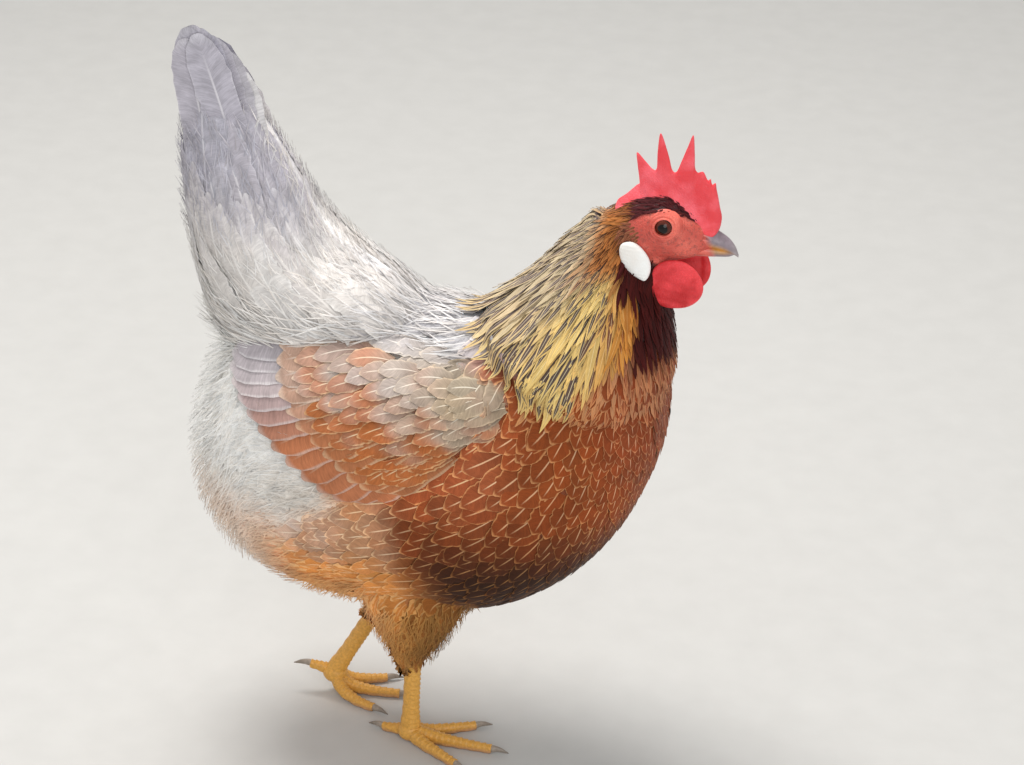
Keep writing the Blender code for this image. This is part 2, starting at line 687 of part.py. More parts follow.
def make_foot(name, toes, collection, tools):
    forms = []
    for label, (path, start, end, plates) in toes.items():
        forms.append(stepped_tube(path, (start, (start + end) * 0.5, end, end * 0.8), TOE_SIDES, plates,
                                  SCUTE_STEP, (0.0, 0.0, 1.0), 0.3))
    first = toes["middle"][0][0]
    pad = (first[0], first[1], first[2] + 0.3)
    item = add_object(name, ball(pad, PAD_SIZE, 14, 9), collection)
    apply_boolean(item, "UNION", forms, tools)
    apply_boolean(item, "DIFFERENCE", [floor_cutter()], tools)
    return item


def make_claw(name, toe, collection):
    """A curved claw that carries on from the end of its toe."""
    path = np.array(toe[0], float)
    tip, along = path[-1], path[-1] - path[-2]
    flat = np.array([along[0], along[1], 0.0])
    flat /= np.linalg.norm(flat)
    rise = max(along[2], 0.0) * 0.3
    rows = []
    for t, drop, radius in ((-0.22, 0.2, 0.9), (0.1, 0.7, 1.0), (0.6, 0.4, 0.62), (1.0, -1.0, 0.16)):
        point = tip + flat * CLAW_LENGTH * t
        level = max(tip[2] + drop + rise * t, CLAW_RADIUS * radius + 0.3)
        rows.append((point[0], point[1], level, CLAW_RADIUS * radius))
    rings = []
    side = np.cross((0, 0, 1), flat)
    for x, y, z, radius in rows:
        rings.append(oval((x, y, z), (0, 0, radius), side * radius * 0.8, 6))
    return add_object(name, loft(rings), collection)


def cut_back(item, others, tools):
    """Takes the neighbours, grown by the clearance, out of the item."""
    apply_boolean(item, "DIFFERENCE", [inflate(o.data, GAP) for o in others], tools)


def finish(item, material_name):
    mesh = item.data
    work = bmesh.new()
    work.from_mesh(mesh)
    bmesh.ops.remove_doubles(work, verts=work.verts, dist=0.02 * MM)
    bmesh.ops.dissolve_degenerate(work, edges=work.edges, dist=0.01 * MM)
    bmesh.ops.triangulate(work, faces=work.faces)
    bmesh.ops.translate(work, verts=work.verts, vec=Vector(SHIFT) * MM)
    work.to_mesh(mesh)
    work.free()
    mesh.materials.clear()
    mesh.materials.append(make_material(material_name, item.name))
    return item


def main():
    for item in list(bpy.data.objects):
        bpy.data.objects.remove(item)
    body = bpy.data.collections.new("leghorn hen")
    tools = bpy.data.collections.new("cutters")
    for group in (body, tools):
        bpy.context.scene.collection.children.link(group)

    torso = make_torso(body)
    neck = make_neck(body, tools)
    cut_back(neck, [torso], tools)
    head = make_head(body, tools)
    cut_back(head, [neck], tools)
    looks = {torso: "breast plumage", neck: "hackle plumage", head: "face skin"}

    for side, label in ((-1, "right"), (1, "left")):
        eye = make_eye(f"eye_{label}", side, body)
        looks[eye] = "eye"
        cut_back(head, [eye], tools)
    upper = make_bill("bill_upper", BILL_UPPER, body)
    for side in (-1, 1):
        nostril = ball((NOSTRIL[0], side * NOSTRIL[1], NOSTRIL[2]), NOSTRIL_SIZE, 8, 5,
                       Matrix.Rotation(math.radians(18), 3, "Y"))
        apply_boolean(upper, "DIFFERENCE", [nostril], tools)
    cut_back(upper, [head], tools)
    lower = make_bill("bill_lower", BILL_LOWER, body)
    cut_back(lower, [head, upper], tools)
    comb = make_comb(body)
    cut_back(comb, [head, upper], tools)
    looks.update({upper: "bill horn", lower: "bill horn", comb: "red comb skin"})
    for side, label in ((-1, "right"), (1, "left")):
        wattle_turn = Matrix.Rotation(math.radians(-side * WATTLE_SPLAY), 3, "X")
        place = (WATTLE_PLACE[0], side * WATTLE_PLACE[1], WATTLE_PLACE[2])
        wattle = add_object(f"wattle_{label}", ball(place, WATTLE_SIZE, 12, 8, wattle_turn), body)
        cut_back(wattle, [head, lower, neck], tools)
        lobe_turn = (Matrix.Rotation(math.radians(-side * LOBE_TURN[0]), 3, "X")
                     @ Matrix.Rotation(math.radians(-LOBE_TURN[1]), 3, "Y"))
        place = (LOBE_PLACE[0], side * LOBE_PLACE[1], LOBE_PLACE[2])
        lobe = add_object(f"ear_lobe_{label}", ball(place, LOBE_SIZE, 10, 7, lobe_turn), body)
        cut_back(lobe, [head, neck, wattle], tools)
        looks.update({wattle: "red comb skin", lobe: "white lobe skin"})

    tail = make_tail(body, tools)
    cut_back(tail, [torso], tools)
    looks[tail] = "tail plumage"
    for side, label in ((-1, "right"), (1, "left")):
        wing = make_wing(side, f"wing_{label}", body, tools)
        cut_back(wing, [torso, neck, tail], tools)
        looks[wing] = "wing plumage"

    for label, thigh_rows, shank_ends, toes in (("right", THIGH_RIGHT, SHANK_RIGHT, TOES_RIGHT),
                                                ("left", THIGH_LEFT, SHANK_LEFT, TOES_LEFT)):
        thigh = make_thigh(f"thigh_{label}", thigh_rows, body)
        cut_back(thigh, [torso], tools)
        shank = make_shank(f"shank_{label}", shank_ends, body)
        cut_back(shank, [thigh], tools)
        foot = make_foot(f"foot_{label}", toes, body, tools)
        cut_back(foot, [shank], tools)
        looks.update({thigh: "thigh plumage", shank: "yellow leg skin", foot: "yellow leg skin"})
        for toe in ("inner", "middle", "outer", "hind"):
            claw = make_claw(f"claw_{label}_{toe}", toes[toe], body)
            cut_back(claw, [foot], tools)
            looks[claw] = "claw horn"

    for item, look in looks.items():
        finish(item, look)


if __name__ == "__main__":
    main()
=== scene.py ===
"""Looks of a light brown leghorn hen in mid step: skin, feathers, head furnishings, legs and studio.

Shapes are worked out in millimetres in the bird's own coordinates, where the hen faces +X, +Z is up and
the right foot stands near the origin; to_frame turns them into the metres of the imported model.
"""

import functools
import math

import bpy
import numpy as np
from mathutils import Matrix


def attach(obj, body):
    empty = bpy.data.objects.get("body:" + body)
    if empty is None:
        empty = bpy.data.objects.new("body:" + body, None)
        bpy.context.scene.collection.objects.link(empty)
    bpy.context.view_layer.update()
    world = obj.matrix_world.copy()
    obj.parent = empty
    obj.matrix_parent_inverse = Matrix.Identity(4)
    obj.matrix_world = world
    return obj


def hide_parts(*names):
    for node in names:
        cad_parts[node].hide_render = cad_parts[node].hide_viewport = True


bl_info = {
    "name": "Leghorn hen",
    "version": (1, 0, 0),
    "blender": (4, 5, 0),
    "location": "3D View > Sidebar > Hen",
    "description": "Builds the skin, feathers and bare parts of a life-size hen",
    "category": "Object",
}

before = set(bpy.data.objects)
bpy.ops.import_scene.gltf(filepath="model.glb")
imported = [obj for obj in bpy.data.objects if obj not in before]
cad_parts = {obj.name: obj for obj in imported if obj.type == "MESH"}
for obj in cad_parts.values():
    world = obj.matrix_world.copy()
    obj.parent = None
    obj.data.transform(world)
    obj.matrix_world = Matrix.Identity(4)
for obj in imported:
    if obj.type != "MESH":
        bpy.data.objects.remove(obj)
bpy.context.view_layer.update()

MM = 0.001
SHIFT = np.array((-32.8, 0.0, 0.0))      # from the bird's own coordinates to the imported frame
SIDES = (-1, 1)
SIDE_NAMES = ("right", "left")

# Torso stations: x, level of the greatest width, top, bottom, half width
TORSO = (
    (-121.0, 199.0, 214.0, 183.0, 15.0),
    (-117.5, 199.0, 231.0, 165.0, 29.0),
    (-107.0, 199.0, 262.0, 140.0, 45.0),
    (-89.0, 200.0, 290.0, 118.0, 57.0),
    (-65.0, 201.0, 304.0, 103.0, 65.0),
    (-35.0, 202.0, 304.0, 97.0, 68.5),
    (0.0, 202.0, 301.0, 95.0, 70.0),
    (35.0, 204.0, 300.0, 97.0, 70.5),
    (68.0, 209.0, 301.0, 106.0, 69.0),
    (98.0, 217.0, 300.0, 125.0, 64.0),
    (122.0, 227.0, 295.0, 150.0, 55.0),
    (140.0, 237.0, 286.0, 180.0, 44.0),
    (152.0, 246.0, 274.0, 211.0, 30.0),
    (158.0, 250.0, 262.0, 236.0, 14.0),
)
# Neck with its cape: back x and z, front x and z, half width, drop of the sides
NECK = (
    (112.0, 369.0, 146.0, 340.0, 15.5, 0.0),
    (104.0, 358.0, 150.0, 331.0, 20.0, 0.0),
    (93.0, 345.0, 155.0, 318.0, 28.0, 1.0),
    (80.0, 330.0, 158.5, 303.0, 38.0, 2.0),
    (67.0, 317.0, 160.0, 286.0, 48.0, 5.0),
    (57.0, 308.0, 160.5, 270.0, 55.0, 8.0),
    (49.0, 303.0, 154.0, 254.0, 59.0, 9.0),
    (58.0, 288.0, 142.0, 238.0, 46.0, 4.0),
)
# Head stations: x, middle, half height, half width
HEAD = (
    (116.0, 356.0, 7.0, 7.0),
    (122.0, 357.0, 12.0, 12.0),
    (131.0, 359.5, 17.0, 15.6),
    (143.0, 362.0, 19.8, 17.5),
    (155.0, 363.0, 20.0, 16.8),
    (165.0, 360.8, 16.6, 13.6),
    (173.0, 358.6, 11.6, 9.8),
    (178.5, 357.4, 7.8, 6.9),
    (183.0, 357.0, 4.6, 4.4),
)
# Throat under the jaw: middle x and y, level, half length, half width
THROAT = ((142.0, 0.0, 316.0, 11.0, 15.0), (144.5, 0.0, 328.0, 11.0, 14.5), (147.0, 0.0, 340.0, 12.0, 14.0),
          (150.0, 0.0, 350.0, 13.0, 12.0))
# Wing core: x, lower and upper edge, thickness over the torso
WING = (
    (-74.0, 252.0, 272.0, 2.0),
    (-62.0, 243.0, 281.0, 3.2),
    (-42.0, 232.0, 287.0, 4.4),
    (-16.0, 225.0, 289.0, 5.4),
    (10.0, 226.0, 288.0, 5.8),
    (34.0, 233.0, 285.0, 5.2),
    (54.0, 243.0, 280.0, 4.0),
    (68.0, 252.0, 273.0, 2.2),
)
# Tail core: z, rear x, front x, half width
TAIL = (
    (268.0, -112.0, -20.0, 38.0),
    (290.0, -118.0, 16.0, 47.0),
    (306.0, -121.0, -1.0, 43.0),
    (326.0, -124.0, -32.0, 37.0),
    (348.0, -126.0, -53.0, 30.0),
    (368.0, -128.0, -64.0, 23.0),
    (388.0, -128.0, -76.0, 16.0),
    (406.0, -126.0, -88.0, 10.0),
    (420.0, -122.0, -100.0, 5.0),
)
# Thighs: x, y, z, half length along x, half width
THIGHS = {
    "right": ((8.0, -22.0, 146.0, 26.0, 14.0), (9.0, -25.0, 124.0, 36.0, 21.0),
              (9.0, -25.5, 103.0, 31.5, 21.0), (8.0, -22.0, 82.0, 21.0, 15.5),
              (6.0, -18.5, 66.0, 12.5, 10.5), (5.0, -16.5, 53.0, 7.4, 7.0)),
    "left": ((0.0, 24.0, 146.0, 24.0, 14.0), (-7.0, 27.0, 126.0, 31.0, 20.0),
             (-13.0, 28.0, 106.0, 26.0, 20.0), (-20.0, 27.0, 87.0, 16.0, 14.0),
             (-26.0, 25.5, 72.0, 10.0, 9.4), (-30.0, 24.5, 61.0, 7.4, 7.0)),
}
COAT_DEPTH = 3.0                         # small body feathers rise this far over the skin
EYE = np.array((155.0, 10.9, 368.5))
EYE_RADIUS = 6.6
# Eyelids: distance from the eye's middle and height over the cheek
LIDS = ((4.5, -0.9), (4.65, 0.1), (5.1, 0.65), (5.7, 0.55), (6.2, 0.05), (6.7, 0.35), (7.3, 0.42),
        (8.0, 0.1), (8.6, 0.16), (9.3, -0.2), (10.2, -1.0), (9.4, -3.0), (6.0, -3.2))
EAR_TUFT = (136.5, 361.5)                # x and z of its middle
EAR_TUFT_RADIUS = 6.5
NECK_TOP = np.array((133.0, 0.0, 352.0))  # where the cape's reach is counted from
LIE_TOP = np.array((142.0, 0.0, 372.0))  # where the cape's feathers fan out from
# Bill stations: x, middle, half height, half width
BILL_UPPER = (
    (170.0, 360.0, 7.4, 8.0),
    (178.0, 359.0, 6.6, 7.2),
    (184.0, 357.2, 5.3, 5.8),
    (189.5, 354.9, 4.1, 4.2),
    (193.2, 352.0, 2.7, 2.5),
    (195.4, 348.8, 0.9, 0.8),
)
BILL_LOWER = (
    (169.0, 352.0, 5.2, 7.4),
    (178.0, 351.6, 4.2, 6.4),
    (185.0, 351.0, 3.2, 4.8),
    (190.0, 350.4, 2.3, 3.0),
    (193.2, 350.2, 0.9, 1.1),
)
NOSTRIL = np.array((177.4, 7.0, 360.6))
# Comb: outline from the bill over the spikes to the nape, and the x of its base for each point
COMB = (
    (180.5, 358.8, 178.0), (183.9, 363.5, 179.5), (185.2, 371.0, 179.0), (183.9, 377.5, 177.5),
    (182.8, 383.0, 176.5), (181.6, 388.0, 175.5), (180.9, 391.6, 174.8), (179.0, 390.6, 174.2),
    (178.0, 393.8, 173.6), (176.4, 393.0, 173.0), (173.8, 397.6, 172.0), (170.6, 397.0, 170.5),
    (169.0, 400.0, 169.2), (168.6, 408.0, 168.2),
    (167.6, 419.0, 167.2), (164.7, 412.0, 165.8), (161.8, 404.0, 164.0), (158.8, 396.4, 161.0),
    (156.2, 397.4, 158.0), (153.8, 406.5, 155.0), (149.4, 418.6, 152.6), (147.9, 408.5, 150.6),
    (147.6, 397.8, 148.6), (145.4, 396.6, 146.8), (141.2, 401.0, 144.4), (136.2, 406.0, 142.0),
    (137.6, 397.0, 140.2), (140.4, 389.8, 138.2), (136.0, 385.6, 135.0), (130.6, 380.0, 131.2),
    (125.8, 375.8, 127.6), (124.0, 370.0, 126.0),
)
COMB_BASE = ((121.0, 128.0, 143.0, 158.0, 172.0, 186.0), (364.0, 368.0, 375.0, 374.0, 364.0, 357.0))
COMB_HALF = 3.1
# Wattle and ear lobe: middle; half length, half thickness and half height; the lobe's lean in degrees
WATTLE = np.array((162.4, 11.6, 332.4))
WATTLE_SIZE = (16.0, 3.8, 16.2)
LOBE = np.array((140.2, 15.8, 346.8))
LOBE_SIZE = (8.1, 2.8, 12.8)
LOBE_LEAN = 24.0
# Wing tiers: root of the lowest and highest feather, tip line, count, half width, height at the root and tip
WING_TIERS = (
    ((28.0, 232.0), (-34.0, 283.0),
     ((-2.0, 205.0), (-22.0, 201.0), (-40.0, 209.0), (-58.0, 223.0), (-74.0, 238.0), (-87.0, 251.0),
      (-93.0, 263.0), (-91.0, 275.0)), 14, 12.0, (-2.4, 0.9)),
    ((44.0, 238.0), (-8.0, 285.0),
     ((10.0, 211.0), (-10.0, 212.0), (-28.0, 226.0), (-48.0, 243.0), (-60.0, 262.0), (-62.0, 281.0)),
     13, 10.5, (-2.0, 1.7)),
)
REMEX_LENGTH = 90.0                      # spreads the barbs along a flight feather
WING_SHOULDER = (64.0, 266.0)            # the rows of small coverts draw in to it, each by a share
WING_ROWS = (0.09, 0.17, 0.25, 0.33, 0.41, 0.49, 0.57, 0.65, 0.73, 0.81)
# The wing's upper edge, where its colour turns pale: x and z
WING_TOP = ((-90, -70, -32, -12, 1, 37, 60), (258, 276, 288, 286, 278, 274, 270))
# Tail feathers from the middle pair outward: x, y and z of the tip, x and y of the root
RECTRICES = (
    (-98.0, 5.0, 437.0, -84.0, 7.0),
    (-104.0, 6.0, 447.5, -88.5, 8.0),
    (-110.0, 7.0, 454.5, -93.0, 9.0),
    (-115.5, 8.0, 458.5, -97.5, 10.0),
    (-119.5, 9.0, 460.5, -102.0, 11.0),
    (-122.0, 10.0, 459.5, -106.5, 12.0),
    (-123.5, 11.0, 453.0, -111.0, 13.0),
    (-116.0, 12.2, 457.0, -87.0, 14.2),
)
FAR_HALF = (1.5, 0.0, -11.5)             # the tail's far half leans this far forward and down
RECTRIX_ROOT_Z = 340.0
RECTRIX_HALF = 12.5
RECTRIX_LENGTH = 116.0
RECTRIX_FACE = (0.08, 1.0)
# Tail coverts: level of the roots and tips, last place round the core, count a side, half width
TAIL_COVERTS = ((338.0, 428.0, 0.86, 6, 12.0), (320.0, 404.0, 0.9, 7, 12.5), (302.0, 382.0, 0.94, 8, 12.5),
                (288.0, 356.0, 0.96, 9, 12.0))
SHANKS = {
    "right": ((6.5, -17.5, 70.0), (3.0, -16.0, 9.0)),
    "left": ((-25.0, 25.5, 73.0), (-58.0, 24.0, 16.0)),
}
SHANK_RADII = (5.6, 5.0, 4.9, 5.0, 6.2)
# Toes: points of the middle line, radius at the start and end, number of raised plates
TOES = {
    "right": {
        "inner": (((3.0, -15.0, 6.0), (14.0, -10.0, 3.5), (27.0, -3.0, 2.7), (40.0, 4.0, 2.0)), 4.9, 3.2, 10),
        "middle": (((3.0, -16.0, 6.0), (20.0, -17.0, 3.7), (38.0, -18.0, 2.8), (56.0, -18.5, 2.1)),
                   5.3, 3.3, 14),
        "outer": (((3.0, -17.0, 6.0), (13.0, -24.0, 3.5), (26.0, -32.0, 2.7), (38.0, -39.0, 2.0)),
                  4.9, 3.2, 10),
        "hind": (((2.0, -15.5, 7.0), (-7.0, -13.0, 3.6), (-16.0, -10.5, 2.0)), 4.0, 3.0, 5),
    },
    "left": {
        "inner": (((-58.0, 23.0, 14.0), (-51.0, 17.0, 6.0), (-40.0, 11.5, 2.8), (-28.0, 7.5, 2.0)),
                  4.9, 3.2, 10),
        "middle": (((-58.0, 24.0, 14.0), (-49.0, 24.0, 6.0), (-34.0, 25.0, 2.9), (-16.0, 26.5, 2.1)),
                   5.3, 3.3, 13),
        "outer": (((-58.0, 25.0, 14.0), (-51.0, 31.0, 6.0), (-40.0, 37.5, 2.8), (-29.0, 42.5, 2.0)),
                  4.9, 3.2, 10),
        "hind": (((-59.0, 24.0, 15.0), (-67.0, 23.5, 17.0), (-74.0, 23.0, 18.5)), 4.0, 3.0, 5),
    },
}
PAD_SIZE = (8.0, 7.0, 6.8)               # half length, half width and half height
CLAW_LENGTH = 11.0
CLAW_RADIUS = 2.3
# Reach of the cape from the neck's top: angle in the side view, millimetres
CAPE_REACH = ((190, 118), (200, 118), (211, 114), (224, 117), (231, 114), (240, 111), (248, 107), (258, 84),
              (266, 74), (274, 67), (285, 49), (297, 33), (330, 24))
# The body's long line from the tail to the head, which the unwrap goes round: x and z
SPINE = ((-125.0, 440.0), (-95.0, 330.0), (-60.0, 215.0), (40.0, 200.0), (95.0, 225.0), (118.0, 300.0),
         (150.0, 362.0))
SPINE_ROWS = 60

# Feather colours: ground of the vane, its edge, its shaft
PLUMES = {
    "breast": ("8A421B", "C98C5A", "E4B68C"),
    "front": ("8C4222", "C2825A", "DEAC88"),
    # belly: darker browns, painted shade on the underside
    "belly": ("331706", "744821", "A0703E"),
    "back": ("C2C0C4", "E0DDDC", "F6F4F2"),
    "wing_upper": ("BBB1AA", "D6C9BA", "F6F0E8"),
    "wing_front": ("A08F78", "BEAB90", "EEE2CC"),
    "wing_lower": ("B4693A", "D9A878", "EFD2A8"),
    "fluff": ("F6F4F0", "FCFBF9", "FDFCFB"),
    # grey that the fluff takes below the wing's lower edge: painted shadow of the wing
    "dusky": ("BDB3A8", "D8D0C6", "E8E2DA"),
    "cells": ("B07F5E", "F0C296", "F6D8B4"),
    "flank": ("D68C48", "EAB478", "F6D8AC"),
    "rump": ("DDD9D6", "EEEBE8", "F4F1EE"),
    "tail": ("B6B3BE", "C4C2CB", "DEDCE2"),
    "thigh": ("AC6B2E", "CC9450", "DFB67C"),
    "cape": ("5A4C46", "EBC97E", "F3E4B8"),
    "cape_front": ("8E4A1C", "CB873B", "E6B676"),
    "nape": ("6A5B58", "CFBB98", "E6DAC2"),
    "hood": ("5C2C14", "B5713A", "CF9A5E"),
    # throat: maroon feathers, darkened nearly to black as painted shadow under the jaw and the lobes
    "throat": ("2C0504", "450D0A", "5E1812"),
    "brow": ("401418", "5A2024", "6E3434"),
    "tuft": ("7E3F2C", "B07A58", "C99874"),
    "flight_low": ("B87450", "C2A090", "E3CDB4"),
    "flight_high": ("BDB6BC", "D8D4D8", "F3EFEA"),
    "greater_low": ("B0704A", "CCA482", "EBD0A8"),
    "greater_high": ("BF9E8C", "D8C2B2", "F4ECE0"),
}
PARTS = ("ground", "lace", "shaft")
# Colours of the bare parts, and the whites at the front of the tail's coverts and on its middle feathers; the
# middle feathers' white is partly painted light on the far half's shaded inner faces
SINGLE = {"face": "DC6A5C", "comb": "FC5C66", "wattle": "EE444A", "lobe": "FCFBF8", "bill": "8C7F88",
          "tomium": "C98E3C", "iris": "5C2416", "leg": "DDA54C", "leg_shade": "B98A6E", "claw": "A4978A",
          "ridge": "F0EEEF", "middle_tail": "F2F0EF"}
BILL_TIP = (0.62, 0.58, 0.55)

# Stage: the floor's side and level in the bird's millimetres, its two plaster tones, the light from all round
FLOOR_SIZE = 3000.0
FLOOR_LEVEL = -0.4
FLOOR_TONES = ((0.54, 0.54, 0.53, 1.0), (0.60, 0.60, 0.59, 1.0))
SKY_TONE = (1.0, 0.985, 0.96, 1.0)
SKY_STRENGTH = 0.57
# Area lamps: place in metres, diameter, watts, colour
LAMPS = (
    ("key", (-0.35, 0.3, 1.9), 1.0, 31.0, (1.0, 0.97, 0.93)),
    ("fill", (0.9, -1.9, 1.2), 1.6, 18.0, (1.0, 1.0, 1.0)),
)
LAMPS_AIM = (0.0, 0.0, 0.22)
CAMERA = {"azimuth": 14.0, "elevation": 28.0, "distance": 1.75, "lens": 103.0,
          "centre": (-0.0128, 0.0, 0.2), "right": 0.0432, "up": 0.0405}


def linear(hex_code):
    """The linear colour of an sRGB hex code: each channel through the sRGB curve."""
    codes = np.array([int(hex_code[i:i + 2], 16) / 255 for i in (0, 2, 4)])
    return np.where(codes <= 0.04045, codes / 12.92, ((codes + 0.055) / 1.055) ** 2.4)


def colour_property(label, hex_code):
    return bpy.props.FloatVectorProperty(
        name=label, description=f"Colour of the {label.lower()}", subtype="COLOR", size=3, min=0.0, max=1.0,
        default=tuple(linear(hex_code)))


def length_property(label, description, default):
    return bpy.props.FloatProperty(name=label, description=description + ", in millimetres", default=default,
                                   min=0.1, max=200.0)


# Coats: spacing of the roots, length, half width, lift of the tip over the skin, all in millimetres
COATS = {
    "breast": (9.8, 32.0, 9.0, 1.5),
    "back": (8.6, 34.0, 7.2, 1.5),
    "cape": (6.4, 46.0, 3.0, 2.4),
    "neck": (3.6, 17.0, 1.7, 1.6),
    "fluff": (7.0, 28.0, 6.6, 1.8),
    "rump": (8.6, 44.0, 8.4, 1.6),
    "coverts": (8.4, 27.0, 6.6, 1.6),
    "thigh": (5.4, 20.0, 4.2, 2.2),
    "saddle": (3.3, 20.0, 0.5, 3.2),
    "crown": (1.9, 6.0, 0.8, 1.0),
    "down": (2.5, 17.0, 0.4, 5.5),
}
MEASURES = ("spacing", "length", "half", "lift")


class HenSizes(bpy.types.PropertyGroup):
    """Sizes of the feathers of each coat"""
    __annotations__ = {
        f"{coat}_{part}": length_property(f"{coat} {part}".capitalize(),
                                          f"The {part} of the {coat} feathers", value)
        for coat, values in COATS.items() for part, value in zip(MEASURES, values)}


class HenColours(bpy.types.PropertyGroup):
    """Colours of the plumage and of the bare parts"""
    __annotations__ = {
        **{f"{region}_{part}": colour_property(f"{region} {part}".replace("_", " ").capitalize(), code)
           for region, codes in PLUMES.items() for part, code in zip(PARTS, codes)},
        **{part: colour_property(part.replace("_", " ").capitalize(), code) for part, code in SINGLE.items()}}


def sizes():
    return bpy.context.scene.hen_sizes


def measures(coat_name):
    """Spacing, length, half width and lift of a coat's feathers."""
    return [getattr(sizes(), f"{coat_name}_{part}") for part in MEASURES]


def colour(name):
    return np.array(getattr(bpy.context.scene.hen_colours, name))


def plume(name):
    """Ground, edge and shaft colour of a kind of plumage."""
    return np.stack([colour(f"{name}_{part}") for part in PARTS])


def to_frame(points):
    """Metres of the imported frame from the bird's own millimetres."""
    return (np.asarray(points, float) + SHIFT) * MM


def smooth(low, high, value):
    """The smooth step 3t^2 - 2t^3, with t the share of the way from low to high."""
    share = np.clip((value - low) / (high - low), 0.0, 1.0)
    return share * share * (3 - 2 * share)


def unit(vectors):
    return vectors / np.maximum(np.linalg.norm(vectors, axis=-1, keepdims=True), 1e-9)


def mix(first, second, share):
    """First turned into second by the share, one share for each row."""
    return first + (second - first) * np.asarray(share)[..., None]


def spline(rows, places):
    """A Catmull-Rom curve through the rows, read at whole-array places counted in rows."""
    rows, places = np.asarray(rows, float), np.asarray(places, float)
    padded = np.vstack([2 * rows[0] - rows[1], rows, 2 * rows[-1] - rows[-2]])
    index = np.clip(places.astype(int), 0, len(rows) - 2)
    t = (places - index)[..., None]
    a, b, c, d = (padded[index + k] for k in range(4))
    bend, twist = 2 * a - 5 * b + 4 * c - d, 3 * b - a - 3 * c + d
    return 0.5 * (2 * b + (c - a) * t + bend * t ** 2 + twist * t ** 3)


def even(rows, count):
    """The spline through the rows at count even places."""
    return spline(rows, np.linspace(0, len(rows) - 1, count))


def station(rows, at):
    """The rows' other columns at values of their first one, read off the spline through them."""
    table = np.array(rows)
    return np.moveaxis(spline(table, np.interp(at, table[:, 0], np.arange(len(table)))), -1, 0)[1:]


def around(count):
    """A row of even angles once round."""
    return np.linspace(0, 2 * math.pi, count, endpoint=False)[None]


# Meshes from whole arrays

def grid_faces(rows, columns, closed=True):
    """Quads of a grid of rows by columns, the columns joined round when closed."""
    last = columns if closed else columns - 1
    row, column = np.meshgrid(np.arange(rows - 1), np.arange(last), indexing="ij")
    after = (column + 1) % columns
    quads = np.stack([row * columns + column, row * columns + after, (row + 1) * columns + after,
                      (row + 1) * columns + column], -1)
    return quads.reshape(-1, 4)


def shell(rings):
    """Points and faces of a closed surface through rings, each end closed by a fan on its middle point."""
    rows, columns = rings.shape[:2]
    points = np.vstack([rings.reshape(-1, 3), rings[0].mean(0), rings[-1].mean(0)])
    here = np.arange(columns)
    after = (here + 1) % columns
    first, last = rows * columns, rows * columns + 1
    low = np.stack([np.full(columns, first), after, here], -1)
    high = np.stack([np.full(columns, last), here + last - 1 - columns, after + last - 1 - columns], -1)
    faces = [grid_faces(rows, columns), np.vstack([low, high])]
    corners = points[faces[0]]
    volume = np.einsum("ij,ij->i", corners[:, 0], np.cross(corners[:, 1], corners[:, 2])).sum()
    volume += np.einsum("ij,ij->i", corners[:, 0], np.cross(corners[:, 2], corners[:, 3])).sum()
    if volume < 0:
        faces = [f[:, ::-1] for f in faces]
    return points, faces


def joined(shells):
    """Several points and faces as one."""
    points, faces, start = [], [], 0
    for part, polygons in shells:
        points.append(part)
        faces += [f + start for f in polygons]
        start += len(part)
    return np.vstack(points), faces


def build(name, points, faces, uvs=None, attributes=None, normals=None):
    """An object at the origin whose mesh has these points, in millimetres, and faces of any size.

    The maps and attributes have one row for each point, the normals one for each corner of each face.
    """
    mesh = bpy.data.meshes.new(name)
    mesh.vertices.add(len(points))
    mesh.vertices.foreach_set("co", to_frame(points).astype(np.float32).ravel())
    loops = np.concatenate([f.ravel() for f in faces]).astype(np.int32)
    counts = np.concatenate([np.full(len(f), f.shape[1]) for f in faces])
    mesh.loops.add(len(loops))
    mesh.loops.foreach_set("vertex_index", loops)
    mesh.polygons.add(len(counts))
    mesh.polygons.foreach_set("loop_start", (np.cumsum(counts) - counts).astype(np.int32))
    mesh.update(calc_edges=True)
    mesh.shade_smooth()
    for label, spots in (uvs or {}).items():
        layer = mesh.uv_layers.new(name=label)
        layer.data.foreach_set("uv", np.asarray(spots, np.float32)[loops].ravel())
    for label, values in (attributes or {}).items():
        add_attribute(mesh, label, values)
    if normals is not None:
        mesh.normals_split_custom_set(normals.astype(np.float32))
    item = bpy.data.objects.new(name, mesh)
    bpy.context.scene.collection.objects.link(item)
    return item


def add_attribute(mesh, label, values):
    values = np.asarray(values, np.float32)
    if values.ndim == 1:
        mesh.attributes.new(label, "FLOAT", "POINT").data.foreach_set("value", values)
    else:
        full = np.concatenate([values, np.ones((len(values), 1), np.float32)], 1)
        mesh.attributes.new(label, "FLOAT_COLOR", "POINT").data.foreach_set("color", full.ravel())


def finish(item, material, slot, *nodes):
    """Gives the piece its material, and lets it ride and stand for its CAD nodes; it does not use the slot."""
    item.data.materials.append(material)
    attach(item, "root")
    if nodes:
        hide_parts(*nodes)
    return item


# Body surfaces

def torso_rings(shrink=0.0):
    """The torso's cross sections: half width times the cosine, rise or fall times the sine of the angle."""
    x, middle, top, bottom, half = even(TORSO, 44).T[:, :, None]
    angle = around(72)
    rise = np.where(np.sin(angle) > 0, top - middle, middle - bottom) - shrink
    x = np.clip(x, TORSO[0][0] + shrink, TORSO[-1][0] - shrink)
    half = half - shrink
    return np.stack([x + 0 * angle, half * np.cos(angle), middle + rise * np.sin(angle)], -1)


def neck_rings(shrink=0.0):
    """The neck's slanted ovals from back point to front point, their sides let down."""
    bx, bz, fx, fz, half, drop = even(NECK, 30).T[:, :, None]
    angle = around(64)
    reach = 1.0 - shrink / (0.5 * np.hypot(fx - bx, fz - bz))
    cos, sin = np.cos(angle) * reach, np.sin(angle)
    return np.stack([(bx + fx) / 2 + (fx - bx) / 2 * cos, (half - shrink) * sin,
                     (bz + fz) / 2 + (fz - bz) / 2 * cos - drop * sin ** 2], -1)


